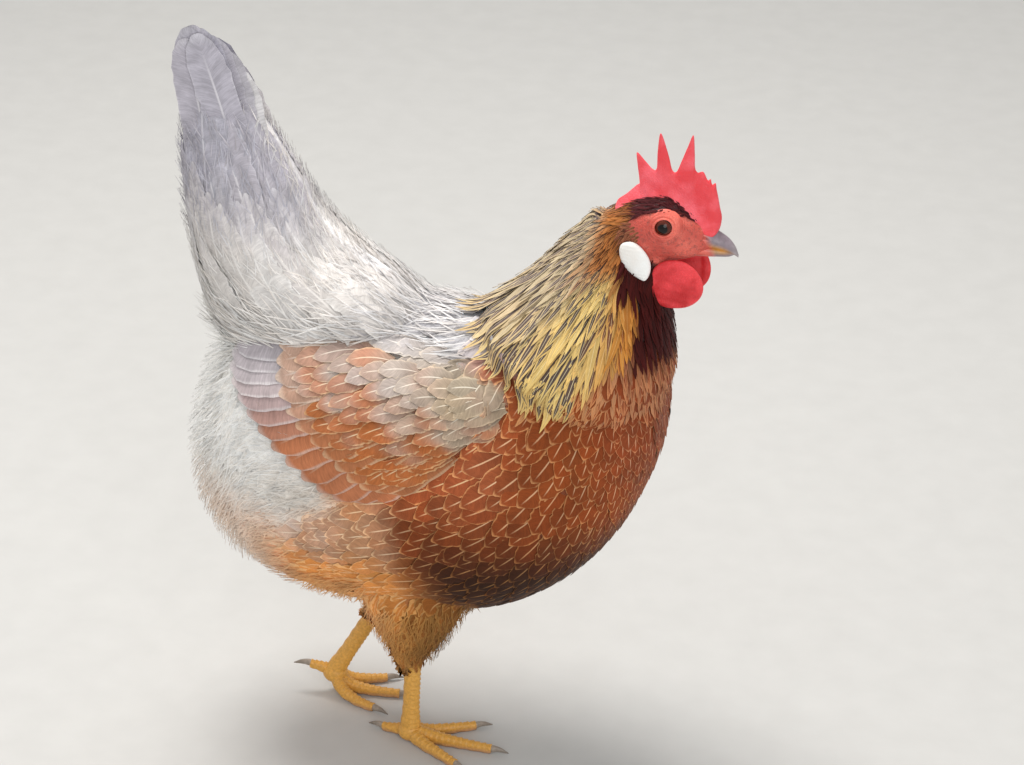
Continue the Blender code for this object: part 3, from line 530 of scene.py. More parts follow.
def level_rings(rows, count, shrink=0.0):
    """Flat ovals at levels: middle x and y, half length and half width."""
    x, y, z, along, half = even(rows, count).T[:, :, None]
    angle = around(48)
    return np.stack([x + (along - shrink) * np.cos(angle), y + (half - shrink) * np.sin(angle),
                     z + 0 * angle], -1)


def upright_rings(rows, count, sides=48, shrink=0.0):
    """Upright ovals along x: middle level, half height and half width."""
    x, middle, high, half = even(rows, count).T[:, :, None]
    angle = around(sides)
    return np.stack([x + 0 * angle, (half - shrink) * np.sin(angle),
                     middle + (high - shrink) * np.cos(angle)], -1)


def side_y(x, z):
    """Distance of the torso's side from the middle plane: half width times the root of 1 - share^2."""
    middle, top, bottom, half = station(TORSO, x)
    share = np.where(z > middle, (z - middle) / (top - middle), (middle - z) / (middle - bottom))
    return half * np.sqrt(np.clip(1 - share ** 2, 0.03, 1))


def wing_rings(side):
    """The folded wing's core: the torso's side swollen by the thickness times the sine up the wing."""
    x, low, high, thick = even(WING, 28).T[:, :, None]
    up = np.linspace(0, 1, 16)[None]
    z = low + (high - low) * up
    swell = thick * (0.15 + 0.85 * np.sin(math.pi * up) ** 0.7)
    flat = np.broadcast_to(x, z.shape)
    y = side_y(flat.ravel(), z.ravel()).reshape(z.shape)
    outer = np.stack([flat, side * (y + swell), z], -1)
    inner = np.stack([flat, side * (y - 8.0), z], -1)[:, ::-1]
    return np.concatenate([outer, inner], 1)


def eye_socket(points):
    """Moves the skin at each eye: in by 3.2 mm times a smooth bowl 8.5 mm round, out by a rim and a cheek."""
    out = np.hypot(points[:, 0] - EYE[0], points[:, 2] - EYE[2])
    near = np.abs(points[:, 1]) > 6.0
    bowl = (1 - smooth(3.5, 8.5, out)) * near
    rim = np.exp(-((out - 9.0) / 2.4) ** 2) * near
    lift = -3.2 * bowl + 0.7 * rim
    cheek = np.exp(-((points[:, 0] - 160) / 9) ** 2 - ((points[:, 2] - 353) / 5) ** 2) * near
    lift += 1.2 * cheek
    moved = points.copy()
    moved[:, 1] += np.sign(points[:, 1]) * lift
    return moved


def flank(x, z, side, out):
    """Points out from the torso's side at x and z, and the outward normals from its slopes."""
    y = side_y(x, z)
    along = (side_y(x + 1.0, z) - side_y(x - 1.0, z)) / 2
    upward = (side_y(x, z + 1.0) - side_y(x, z - 1.0)) / 2
    normal = unit(np.stack([-along, side * np.ones_like(x), -upward], -1))
    return np.stack([x, side * y, z], -1) + normal * np.asarray(out)[..., None], normal


def tail_oval(level):
    """The tail core's oval at a level: its middle x, half length and half width."""
    rear, front, half = station(TAIL, level)
    return (rear + front) / 2, (front - rear) / 2, half


def tail_bend(turn, z):
    """Half the curvature of the tail core's oval, ab / (a^2 sin^2 + b^2 cos^2)^1.5 / 2, up to 0.05 per mm."""
    _, a, b = tail_oval(z)
    angle = turn * math.pi
    return np.minimum(a * b / ((a * np.sin(angle)) ** 2 + (b * np.cos(angle)) ** 2) ** 1.5 / 2, 0.05)


def tail_side(turn, z, side, out):
    """Points out from the tail core, turn going round it from 0 at the front ridge to 1 at the rear."""
    def surface(a, level):
        middle, along, half = tail_oval(level)
        return np.stack([middle + along * np.cos(a * math.pi), side * half * np.sin(a * math.pi), level], -1)
    here = surface(turn, z)
    across = surface(turn + 0.01, z) - surface(turn - 0.01, z)
    upward = surface(turn, z + 1) - surface(turn, z - 1)
    normal = unit(np.cross(across, upward))
    away = np.stack(np.broadcast_arrays(np.cos(turn * math.pi), side * np.sin(turn * math.pi), 0.0 * z), -1)
    normal = normal * np.where(np.sum(normal * away, -1, keepdims=True) < 0, -1.0, 1.0)
    return here + normal * np.asarray(out)[..., None], normal


def body_shells():
    """Every form of flesh, sunk by the depth of the small feathers over it."""
    tail = [((rear + front) / 2, 0.0, z, (front - rear) / 2, half) for z, rear, front, half in TAIL]
    shells = [shell(torso_rings(COAT_DEPTH)), shell(neck_rings(1.2)),
              shell(upright_rings(HEAD, 40, shrink=0.2)), shell(level_rings(tail, 34, 1.5))]
    shells += [shell(level_rings(rows, 34, COAT_DEPTH)) for rows in THIGHS.values()]
    shells += [shell(wing_rings(side)) for side in SIDES]
    shells.append(shell(level_rings(THROAT, 16)))
    return shells


class Hide:
    """The finished skin as points with normals, and a grid of cells that each know a close skin point."""
    CELL = 4.0
    REACH = 44.0

    def __init__(self, mesh):
        count = len(mesh.vertices)
        self.points, self.normals = np.empty(count * 3), np.empty(count * 3)
        mesh.vertices.foreach_get("co", self.points)
        mesh.vertex_normals.foreach_get("vector", self.normals)
        self.points = self.points.reshape(-1, 3) / MM - SHIFT
        self.normals = self.normals.reshape(-1, 3)
        self.low = self.points.min(0) - self.REACH
        size = np.ceil((self.points.max(0) + self.REACH - self.low) / self.CELL).astype(int)
        owner = np.full(size, -1, np.int32)
        owner[tuple(((self.points - self.low) / self.CELL).astype(int).T)] = np.arange(count)
        axes = [self.low[k] + (np.arange(size[k]) + 0.5) * self.CELL for k in range(3)]
        centre = np.stack(np.meshgrid(*axes, indexing="ij"), -1).astype(np.float32)
        light = self.points.astype(np.float32)
        gap = np.where(owner < 0, np.inf, np.linalg.norm(light[owner] - centre, axis=-1))
        for step in (6, 3, 2, 1, 1):
            for axis in range(3):
                for way in (step, -step):
                    other = np.roll(owner, way, axis)
                    far = np.where(other < 0, np.inf, np.linalg.norm(light[other] - centre, axis=-1))
                    better = far < gap
                    owner[better], gap[better] = other[better], far[better]
        self.owner, self.limit = owner, size - 1

    def nearest(self, spots):
        """Spots put down on the skin along the normal of the closest skin point their cell knows, twice."""
        for _ in range(2):
            cell = np.clip(((spots - self.low) / self.CELL).astype(int), 0, self.limit)
            index = self.owner[tuple(np.moveaxis(cell, -1, 0))]
            normal = self.normals[index]
            spots = spots - normal * np.sum((spots - self.points[index]) * normal, -1, keepdims=True)
        return spots, normal


@functools.cache
def hide():
    return Hide(bpy.data.objects["skin"].data)


# Where things are on the bird

def cape_share(points):
    """Distance from the neck's top in the side view, as a share of the cape's reach at that angle."""
    across, down = points[:, 0] - NECK_TOP[0], points[:, 2] - NECK_TOP[2]
    angle = np.degrees(np.arctan2(down, across)) % 360
    table = np.array(CAPE_REACH, float)
    return np.hypot(across, down) / np.interp(angle, table[:, 0], table[:, 1]), angle


def wing_share(points):
    """1 on the folded wing and 0 off it, with a soft edge of 6 mm."""
    table = np.array(WING)
    low, high = (np.interp(points[:, 0], table[:, 0], table[:, k]) for k in (1, 2))
    inside = np.minimum(points[:, 2] - low, high - points[:, 2])
    ends = np.minimum(points[:, 0] + 76, 70 - points[:, 0])
    return smooth(-3, 3, np.minimum(inside, ends)) * (np.abs(points[:, 1]) > 30)


def regions(points):
    """Soft masks of the bird's regions, in the order in which each covers the ones before it."""
    x, y, z = points.T
    share, _ = cape_share(points)
    tail_front = np.interp(z, [r[0] for r in TAIL], [r[2] for r in TAIL])
    flank = smooth(184, 140, z + 0.35 * (x + 40)) * smooth(44, -14, x)
    cells = smooth(-62, -46, x) * smooth(16, -2, x) * smooth(202, 184, z - 0.35 * (x + 20))
    # The throat's dark colour, partly maroon feathers and partly painted shadow, also covers a band under and
    # behind the lobe
    throat = smooth(138.5, 142.5, x) * (z > 292) * (1 - smooth(300, 292, z))
    under_lobe = smooth(131.5, 134.5, x) * smooth(330, 336, z) * smooth(362, 356, z)
    return {
        "front": smooth(112, 146, x) * smooth(180, 240, z),
        "belly": smooth(206, 140, z) * smooth(-16, 44, x),
        "back": smooth(262, 284, z - 16 * smooth(20, 70, x)) * (1 - smooth(96, 110, x)),
        "wing": wing_share(points),
        "fluff": smooth(6, -40, x + 0.10 * (z - 200)) * smooth(296, 284, z),
        "flank": flank * (1 - 0.6 * smooth(-50, -100, x)),
        "cells": cells * smooth(126, 142, z),
        "rump": smooth(270, 284, z) * smooth(-14, -40, x),
        "tail": smooth(330, 360, z) * smooth(tail_front + 6, tail_front - 2, x) * (x < -30),
        "thigh": (1 - smooth(112, 132, z + 0.15 * np.abs(y))) * (x > -60) * (x < 52),
        "cape": smooth(0.78, 0.70, share) * (x > 20) * (z > 225),
        "throat": np.maximum(throat, under_lobe) * (z < 362),
        "head": smooth(347, 352, z) * smooth(135, 140, x),
    }


def plumage(points, on_wing=None):
    """Ground, edge and shaft colours of the plumage at places on the bird, mixed by the soft regions, with
    painted shade on the belly, the throat, the fluff and body below the wing's edge and the thigh's front.
    """
    mask = regions(points)
    if on_wing is not None:
        mask["wing"] = np.full(len(points), on_wing)
    x, _, z = points.T
    share, angle = cape_share(points)

    def whole(name):
        return np.broadcast_to(plume(name).reshape(9), (len(points), 9))

    def cover(looks, name, part):
        return mix(looks, plume(name).reshape(9), part)

    looks = cover(whole("breast"), "front", mask["front"])
    # The belly's darker colours are painted shade on the underside
    looks = cover(looks, "belly", mask["belly"])
    looks = cover(looks, "back", mask["back"])
    side = smooth(92, 56, x) * smooth(178, 222, z)
    looks = mix(looks, looks * 1.45 + 0.02, side * (1 - mask["back"]))
    pale = mask["fluff"]
    looks = cover(looks, "fluff", pale)
    # Painted shadow of the wing's lower edge on the fluff
    looks = cover(looks, "dusky", 0.7 * np.exp(-((x + 44) / 34) ** 2 - ((z - 194) / 20) ** 2) * pale)
    fringe = 3.2 * pale * (1 - pale) * (1 - mask["back"])
    looks = cover(looks, "flank", np.clip(mask["flank"] + fringe, 0, 1))
    looks = cover(looks, "cells", 0.85 * mask["cells"] * smooth(138, 162, z))
    if on_wing is None:
        # Painted shadow on the body just below the wing's lower rear edge
        under_wing_shadow = smooth(0.02, 0.3, mask["wing"]) * smooth(0, -24, x) * smooth(-100, -70, x)
        looks = looks * (1 - 0.45 * under_wing_shadow * smooth(246, 226, z))[:, None]
    looks = cover(looks, "rump", mask["rump"])
    looks = cover(looks, "tail", mask["tail"])

    wave = 16 * np.sin(0.13 * x + 0.21 * z) * np.sin(0.17 * z - 0.06 * x)
    upper = smooth(-46, 8, z - np.interp(x, *WING_TOP) + wave)
    wing = cover(whole("wing_lower"), "wing_upper", upper)
    wing = cover(wing, "wing_front", upper * smooth(-6, 48, x + 0.5 * (262 - z)))
    looks = mix(looks, wing, mask["wing"])
    looks = cover(looks, "thigh", mask["thigh"] * smooth(-18, 12, x - 0.3 * (z - 100)))
    # Painted shade on the thigh's front, where the belly shadows it
    looks = looks * (1 - 0.45 * mask["thigh"] * smooth(4, 26, x - 0.2 * (z - 100)))[:, None]

    cape = cover(whole("cape"), "nape", smooth(238, 205, angle) * smooth(1.05, 0.35, share))
    cape = cover(cape, "cape_front", smooth(250, 278, angle) * smooth(0.1, 0.5, share + 0.3))
    cape = cover(cape, "hood", smooth(114, 126, x - 0.35 * (z - 360)) * smooth(334, 348, z))
    looks = mix(looks, cape, mask["cape"])
    # The throat colour is partly the maroon feathers and partly painted shadow under the jaw and the lobes
    looks = cover(looks, "throat", mask["throat"])
    return cover(looks, "brow", mask["head"]).reshape(-1, 3, 3)


def lie(points):
    """The direction in which the feathers lie: out from the neck's top on the cape, down round the breast,
    back along the side, up over the rump, and down on the fluff and thighs; the parts are added by weight."""
    x, y, z = points.T
    share, _ = cape_share(points)
    nought = np.zeros_like(x)
    slope = np.radians(np.interp(x, (-80, 0, 40, 80, 120, 150), (6, 14, 24, 42, 66, 86)))
    slope *= smooth(300, 262, z)
    slope -= np.radians(14) * smooth(-20, -60, x) * smooth(250, 285, z)
    way = np.stack([-np.cos(slope), nought, -np.sin(slope)], -1)
    way = mix(way, np.array((-0.95, 0.0, -0.1)), smooth(150, 118, z) * (1 - smooth(120, 140, x)))
    away = unit(points - LIE_TOP)
    way = mix(way, away, smooth(1.12, 0.9, share) * (x > 20) * (z > 225))
    way = mix(way, np.array((-0.42, 0.0, 0.9)), smooth(0, -64, x) * smooth(278, 330, z))
    way = mix(way, np.array((-0.12, 0.0, 1.0)), smooth(322, 345, z) * (x < -20))
    fluff = np.stack([-0.5 + nought, 0.1 * np.sign(y), -0.75 + nought], -1)
    way = mix(way, fluff, smooth(-66, -92, x) * smooth(276, 262, z))
    way = mix(way, np.array((-0.25, 0.0, -1.0)), smooth(128, 108, z) * (x > -60) * (x < 52))
    way = mix(way, np.array((-0.15, 0.0, -1.0)), smooth(128, 138, x) * smooth(352, 342, z) * (z > 255))
    way = mix(way, np.array((-0.5, 0.0, -0.85)), smooth(326, 338, z) * smooth(114, 124, x))
    way = mix(way, np.array((-0.9, 0.0, -0.2)), smooth(360, 368, z) * smooth(112, 126, x))
    return unit(way)


# Feathers

def outline_rows(count, stops):
    """Rows along a vane, closer toward the tip: shares of its length and of its half width there."""
    share = np.linspace(0, 1, count) ** 0.8
    stops = np.array(stops)
    return np.stack([share, np.interp(share, stops[:, 0], stops[:, 1])], -1)


ROUND = outline_rows(13, ((0.0, 0.40), (0.22, 0.72), (0.45, 0.94), (0.64, 1.0), (0.79, 0.95), (0.89, 0.78),
                          (0.96, 0.5), (1.0, 0.12)))
POINTED = outline_rows(10, ((0.0, 0.55), (0.2, 0.85), (0.42, 1.0), (0.62, 0.92), (0.78, 0.7), (0.9, 0.4),
                            (1.0, 0.05)))
SMALL = outline_rows(6, ((0.0, 0.5), (0.35, 1.0), (0.7, 0.95), (0.9, 0.62), (1.0, 0.12)))
LOCK = outline_rows(4, ((0.0, 0.8), (0.35, 1.0), (0.72, 0.62), (1.0, 0.08)))


def spread_roots(mask, spacing, seed, scale=None):
    """Places on the skin about a spacing times the scale apart: skin points from a fine grid's cells, thinned
    at random to the wanted number for their area, then pushed apart.

    Each push is the sum over close neighbours of their direction times how far they are inside 1.15 spacings.
    After the second and fourth push, points of the grid with no root within a spacing are added. Over 2600
    roots stay as they are.
    """
    rng = np.random.default_rng(seed)
    pool = hide().points[mask]
    if not len(pool):
        raise RuntimeError("no skin under this coat")
    least = spacing * (float(scale(pool).min()) if scale else 1.0)
    cell = np.floor(pool / (least * 1.22) + rng.random(3)).astype(int)
    order = rng.permutation(len(pool))
    _, first = np.unique(cell[order], axis=0, return_index=True)
    roots = spare = pool[order[first]]
    if scale:
        roots = roots[rng.random(len(roots)) < (least / (spacing * scale(roots))) ** 2]
    for turn in range(9 if scale else 6):
        if len(roots) > 2600:
            break
        if turn in (2, 4):
            some = spare[turn // 2 - 1::2]
            gap = np.linalg.norm(some[:, None] - roots[None], axis=-1).min(1)
            roots = np.concatenate([roots, some[gap > spacing * (scale(some) if scale else 1.0)]])
        reach = 1.15 * spacing * (scale(roots) if scale else np.ones(len(roots)))
        apart = (roots[:, None] - roots[None]).astype(np.float32)
        far = np.sqrt((apart ** 2).sum(-1)) + 1e-6
        force = np.clip((reach[:, None] + reach[None]) / 2 - far, 0, None) * (far > 1e-3) / far
        roots = hide().nearest(roots + 0.28 * np.einsum("ijk,ij->ik", apart, force))[0]
    return roots


def walk(roots, lengths, rows, turn):
    """Centre lines that start at the roots and follow the skin along the lie, turned by an angle each.

    Each step goes ahead by its share of the length and is put down on the skin again; then the line is eased
    by replacing each inner point with a quarter of its two neighbours and half of itself.
    """
    here, normal = hide().nearest(roots)
    line, normals = [here], [normal]
    for step in np.diff(rows):
        ahead = lie(here)
        ahead = unit(ahead - normal * np.sum(ahead * normal, -1, keepdims=True))
        ahead = ahead * np.cos(turn)[:, None] + np.cross(normal, ahead) * np.sin(turn)[:, None]
        here, normal = hide().nearest(here + ahead * (lengths * step)[:, None])
        line.append(here)
        normals.append(normal)
    line, normals = np.stack(line, 1), np.stack(normals, 1)
    for _ in range(4):
        line[:, 1:-1] = (line[:, :-2] + 2 * line[:, 1:-1] + line[:, 2:]) / 4
        normals[:, 1:-1] = unit(normals[:, :-2] + 2 * normals[:, 1:-1] + normals[:, 2:])
    return line, normals


def vanes(line, normals, half, outline, shares, across=5, crown=0.22, thick=0.3, sweep=0.45, ragged=0.1,
          bend=0.0, seed=1):
    """Closed vanes along centre lines.

    A point is the centre line plus the side times half width times outline times s, for s from -1 to 1, raised
    by the crown times 1 - s^2 and drawn back by the sweep times s^2. The under face is the thickness times
    1 - s^2 below, and the edges are jagged at random. The bend, one for each row, drops a point by itself times
    the square of its distance from the centre line.

    Gives the points, the faces, the place on the vane of each point, across and along from 0 to 1, and the
    shading normals of the faces' corners, which lean from the vane's own toward the skin's, as light comes
    soft off many fine barbs; those of the under faces are turned over.
    """
    rng = np.random.default_rng(seed)
    count, rows = line.shape[:2]
    ahead = unit(np.gradient(line, axis=1))
    side = unit(np.cross(normals, ahead))
    up = np.cross(ahead, side)
    top = np.linspace(-1, 1, across)
    s = np.concatenate([top, top[-2:0:-1]])
    under = np.concatenate([np.zeros(across), np.ones(across - 2)])
    width = half[:, None] * outline[None]
    jag = np.ones((count, rows, len(s)))
    jag[..., [0, across - 1]] += ragged * rng.uniform(-1.0, 0.5, (count, rows, 2))
    jag[:, 1::2, [0, across - 1]] -= ragged * rng.uniform(0.2, 1.2, (count, rows // 2, 2))
    reach = width[..., None] * s * jag
    bend = np.broadcast_to(bend, line.shape[:2])[..., None]
    height = (crown * width[..., None] - thick * under) * (1 - s ** 2) - bend * reach ** 2
    lag = sweep * width[..., None] * s ** 2
    points = (line[:, :, None] + side[:, :, None] * reach[..., None] + up[:, :, None] * height[..., None]
              - ahead[:, :, None] * lag[..., None])
    ring = len(s)
    one = grid_faces(rows, ring)[:, ::-1]
    start = (np.arange(count) * rows * ring)[:, None, None]
    ends = np.stack([np.arange(ring), (rows - 1) * ring + np.arange(ring)[::-1]])
    faces = [(one[None] + start).reshape(-1, 4), (ends[None] + start).reshape(-1, ring)]
    place = np.stack(np.broadcast_arrays((s * 0.5 + 0.5)[None], shares[:, None]), -1)
    tilt = 0.2 * s + 2 * bend * reach
    facing = unit(0.5 * up + 0.5 * normals)
    shade = unit(facing[:, :, None] + side[:, :, None] * tilt[..., None]).reshape(-1, 3)
    turned = np.tile(np.where(np.arange(ring) < across - 1, 1.0, -1.0), rows - 1)
    upper = shade[faces[0]] * np.tile(turned, count)[:, None, None]
    corners = [upper.reshape(-1, 3), shade[faces[1]].reshape(-1, 3)]
    return points.reshape(-1, 3), faces, place.reshape(-1, 2), np.concatenate(corners)


def unwrap(roots):
    """Where roots lie on the skin's unwrap: the angle round the body's long line, and the place along it."""
    spine = even(np.array(SPINE), SPINE_ROWS)
    away = np.hypot(roots[:, None, 0] - spine[None, :, 0], roots[:, None, 2] - spine[None, :, 1])
    along = np.argmin(away, 1)
    ahead = np.gradient(spine, axis=0)[along]
    ahead /= np.linalg.norm(ahead, axis=1, keepdims=True)
    x, z = roots[:, 0] - spine[along, 0], roots[:, 2] - spine[along, 1]
    angle = np.arctan2(roots[:, 1], z * ahead[:, 0] - x * ahead[:, 1]) / (2 * math.pi) + 0.5
    exact = along + x * ahead[:, 0] / 8 + z * ahead[:, 1] / 8
    return np.stack([angle, np.clip(exact / SPINE_ROWS, 0, 1)], -1) * 0.98 + 0.01


def plume_piece(name, line, normals, half, outline, shares, looks, lace_from, barbs, **form):
    """One piece of many vanes with its two maps and its colours, a look for each vane or each of its rows."""
    points, faces, place, shade = vanes(line, normals, half, outline, shares, **form)
    count = len(line)
    each = len(points) // count
    bake = np.repeat(unwrap(line[:, 0]), each, 0) + (np.tile(place, (count, 1)) - 0.5) * 0.003
    looks = np.broadcast_to(looks.reshape(count, -1, 3, 3), (count, line.shape[1], 3, 3)).reshape(-1, 3, 3)
    ring = each // line.shape[1]
    attributes = {label: np.repeat(np.clip(looks[:, k], 0, 1), ring, 0) for k, label in enumerate(PARTS)}
    attributes["lace_from"] = np.repeat(np.broadcast_to(lace_from, count), each)
    attributes["barbs"] = np.repeat(np.broadcast_to(barbs, count), each)
    return build(name, points, faces, {"Vane": np.tile(place, (count, 1)), "OFBake": bake}, attributes, shade)


def vary(looks, amount, seed, warm=0.0):
    """Each vane's colours lighter or darker by a random share, and redder or greyer by the warm share."""
    rng = np.random.default_rng(seed)
    light = 1 + amount * rng.uniform(-1, 1, (len(looks), 1, 1))
    tint = 1 + warm * rng.uniform(-1, 1, (len(looks), 1, 1)) * np.array((1.0, 0.1, -0.8))
    return looks * light * tint


def flowing(look, line, at, flow=0.8, on_wing=None):
    """A look for each row of each vane: its own look, as a ratio to the plumage where it was read, times the
    plumage at the row, by the flow's share."""
    rows = plumage(line.reshape(-1, 3), on_wing).reshape(*line.shape[:2], 3, 3)
    return np.clip(look[:, None] * (1 + flow * (rows / np.maximum(rows[:, at], 1e-4)[:, None] - 1)), 0, 1)


def coat(name, mask, outline, seed, scale=None, packing=None, looks=None, lace_from=0.72, turn=4.0,
         sink=-0.8, over=0.0, at=0.6, stand=None, **form):
    """A coat of vanes over the skin where the mask holds, their spacing scaled by the packing.

    Each vane's length and width are the coat's, times the scale at its root and a random share. Its height
    over the skin goes from the sink at the root to the lift, times what it stands out, at the tip, as the
    share along to the power 1.2. Its colours are read from the plumage at the given place along it.
    """
    rng = np.random.default_rng(seed)
    spacing, length, half, lift = measures(name)
    roots = spread_roots(mask, spacing, seed, packing)
    size = (scale(roots) if scale else 1.0) * rng.uniform(0.9, 1.1, len(roots))
    line, normals = walk(roots, length * size, outline[:, 0], np.radians(rng.normal(0, turn, len(roots))))
    if stand:
        lift = lift * stand(roots)[:, None]
    rise = sink + over + (lift * rng.uniform(0.8, 1.2, (len(roots), 1)) - sink) * outline[:, 0] ** 1.2
    line = line + normals * rise[..., None]
    at = np.searchsorted(outline[:, 0], at)
    look = looks(line[:, at], rng)
    if at:
        look = flowing(look, line, at)
    return plume_piece(f"{name}_feathers", line, normals, half * size, outline[:, 1], outline[:, 0], look,
                       lace_from, length * size, seed=seed, **form)


# Materials

MATH, RANGE, MIX, NOISE = "ShaderNodeMath", "ShaderNodeMapRange", "ShaderNodeMix", "ShaderNodeTexNoise"
SPLIT, GREY = "ShaderNodeSeparateXYZ", "ShaderNodeCombineColor"
ATTRIBUTE, PLACE, BUMP = "ShaderNodeAttribute", "ShaderNodeTexCoord", "ShaderNodeBump"
MINUS, SINE = {"operation": "SUBTRACT"}, {"operation": "SINE"}
TIMES, TIMES_PLUS = {"operation": "MULTIPLY"}, {"operation": "MULTIPLY_ADD"}
SMOOTH = {"interpolation_type": "SMOOTHSTEP"}
# A mix of colours takes its share as input 0 and the colours as 6 and 7, and gives them as output 2
TINT = {"data_type": "RGBA", "blend_type": "MIX"}
SHADE = {"data_type": "RGBA", "blend_type": "MULTIPLY"}


def add_node(tree, kind, settings=None, inputs=()):
    """Adds a node with its settings and its inputs, by name or in order.

    An input is a value, or a link from a node's first output or from the output that a (node, output) names.
    """
    node = tree.nodes.new(kind)
    for label, value in (settings or {}).items():
        setattr(node, label, value)
    for label, value in inputs.items() if isinstance(inputs, dict) else enumerate(inputs):
        linked = isinstance(value, tuple) and isinstance(value[0], bpy.types.Node)
        source, output = value if linked else (value, 0)
        if isinstance(source, bpy.types.Node):
            tree.links.new(source.outputs[output], node.inputs[label])
        else:
            node.inputs[label].default_value = source
    return node


def new_material(name, roughness=0.6, sheen=0.0, coat_weight=0.0, specular=0.5, subsurface=0.0, radius=None):
    """A material, its node tree and its shader, with these values on the shader's own sockets."""
    material = bpy.data.materials.new(name)
    material.use_nodes = True
    tree = material.node_tree
    shader = tree.nodes["Principled BSDF"]
    shader.inputs["Roughness"].default_value = roughness
    shader.inputs["Sheen Weight"].default_value = sheen
    shader.inputs["Sheen Roughness"].default_value = 0.5
    shader.inputs["Coat Weight"].default_value = coat_weight
    shader.inputs["Coat Roughness"].default_value = 0.05
    shader.inputs["Specular IOR Level"].default_value = specular
    shader.inputs["Subsurface Weight"].default_value = subsurface
    if radius:
        shader.inputs["Subsurface Radius"].default_value = radius
        shader.inputs["Subsurface Scale"].default_value = 0.002
    return material, tree, shader


def connect(tree, shader, tint, bump):
    """Links a mix of colours and a bump to the shader."""
    tree.links.new(tint.outputs[2], shader.inputs["Base Color"])
    tree.links.new(bump.outputs[0], shader.inputs["Normal"])


@functools.cache
def feather_material(name, pitch=1.1, lancet=False, soft=0.0):
    """Keratin vanes: matt with a faint sheen, a pale shaft, fine slanting barbs and a paler lace at the edge.

    Real barbs stand 0.3 mm apart; these are drawn pitch millimetres apart, as coarse as they need to show.
    """
    material, tree, shader = new_material(name, roughness=0.72, sheen=0.04, specular=0.15)
    vane = add_node(tree, "ShaderNodeUVMap", {"uv_map": "Vane"})
    split = add_node(tree, SPLIT, None, [vane])
    along = (split, "Y")
    tone = {label: add_node(tree, ATTRIBUTE, {"attribute_name": label})
            for label in (*PARTS, "lace_from", "barbs")}
    centred = add_node(tree, MATH, MINUS, [split, 0.5])
    off = add_node(tree, MATH, {"operation": "ABSOLUTE"}, [centred])
    side = add_node(tree, MATH, TIMES, [off, 2.0])
    spot = (add_node(tree, PLACE), "Object")
    blotch = add_node(tree, NOISE, None, {"Vector": spot, "Scale": 90.0, "Detail": 3.0})

    # The lace starts at an uneven line near the edge, on a lancet closer in, and covers the tip
    frayed = add_node(tree, MATH, TIMES_PLUS, [blotch, 0.16, side])
    wavy = add_node(tree, MATH, MINUS, [frayed, 0.08])
    limit = (tone["lace_from"], "Fac")
    if lancet:
        inward = add_node(tree, RANGE, SMOOTH, [along, 0.62, 0.95, 1.0, 0.0])
        limit = add_node(tree, MATH, TIMES, [limit, inward])
    past = add_node(tree, MATH, MINUS, [wavy, limit])
    edge = add_node(tree, RANGE, SMOOTH, [past, 0.0, 0.14])
    tip = add_node(tree, RANGE, SMOOTH, [along, 0.93, 0.99])
    laced = add_node(tree, MATH, {"operation": "MAXIMUM"}, [edge, tip])
    share = add_node(tree, MATH, TIMES, [laced, 0.85])
    base = add_node(tree, MIX, TINT, {0: share, 6: tone["ground"], 7: tone["lace"]})

    # The barbs slant back from the shaft, waver a little and gather in broader streaks
    steps = add_node(tree, MATH, TIMES, [along, (tone["barbs"], "Fac")])
    slant = add_node(tree, MATH, TIMES_PLUS, [side, -9.0, steps])
    wobble = add_node(tree, MATH, TIMES_PLUS, [blotch, 1.2, slant])
    phase = add_node(tree, MATH, TIMES, [wobble, 2 * math.pi / pitch])
    barb = add_node(tree, MATH, SINE, [phase])
    stretched = add_node(tree, MATH, TIMES, [wobble, 0.55])
    fine = add_node(tree, SPLIT, None, [spot])
    slice_at = add_node(tree, MATH, TIMES, [fine, 40.0])
    lane = add_node(tree, "ShaderNodeCombineXYZ", None, [stretched, side, slice_at])
    streak = add_node(tree, NOISE, None, {"Vector": lane, "Scale": 1.4, "Detail": 3.0, "Roughness": 0.6})
    streaked = add_node(tree, RANGE, SMOOTH, [streak, 0.3, 0.7, 0.86, 1.1])
    shade = add_node(tree, MATH, TIMES_PLUS, [barb, 0.02, streaked])
    mottle = add_node(tree, RANGE, SMOOTH, [blotch, 0.3, 0.7, 0.9, 1.08])
    mottled = add_node(tree, MATH, TIMES, [shade, mottle])
    # Darker toward the root: partly the feather's dark downy base, partly painted shade where the next feathers
    # lap over it
    root = add_node(tree, RANGE, SMOOTH, [along, 0.15, 0.72, 0.84, 1.0])
    light = add_node(tree, MATH, TIMES, [mottled, root])
    grey = add_node(tree, GREY, None, [light] * 3)
    toned = add_node(tree, MIX, SHADE, {0: 1.0, 6: (base, 2), 7: grey})

    # The shaft thins out toward the tip
    quill = add_node(tree, RANGE, SMOOTH, [side, 0.02, 0.075 + 0.08 * soft, 0.75 - 0.5 * soft, 0.0])
    quill_end = add_node(tree, RANGE, SMOOTH, [along, 0.7, 0.95, 1.0, 0.0])
    shafted = add_node(tree, MATH, TIMES, [quill, quill_end])
    final = add_node(tree, MIX, TINT, {0: shafted, 6: (toned, 2), 7: tone["shaft"]})
    height = add_node(tree, MATH, TIMES_PLUS, [barb, 0.35, shafted])
    bump = add_node(tree, BUMP, None, {"Strength": 0.18, "Distance": 0.0003, "Height": height})
    connect(tree, shader, final, bump)
    return material


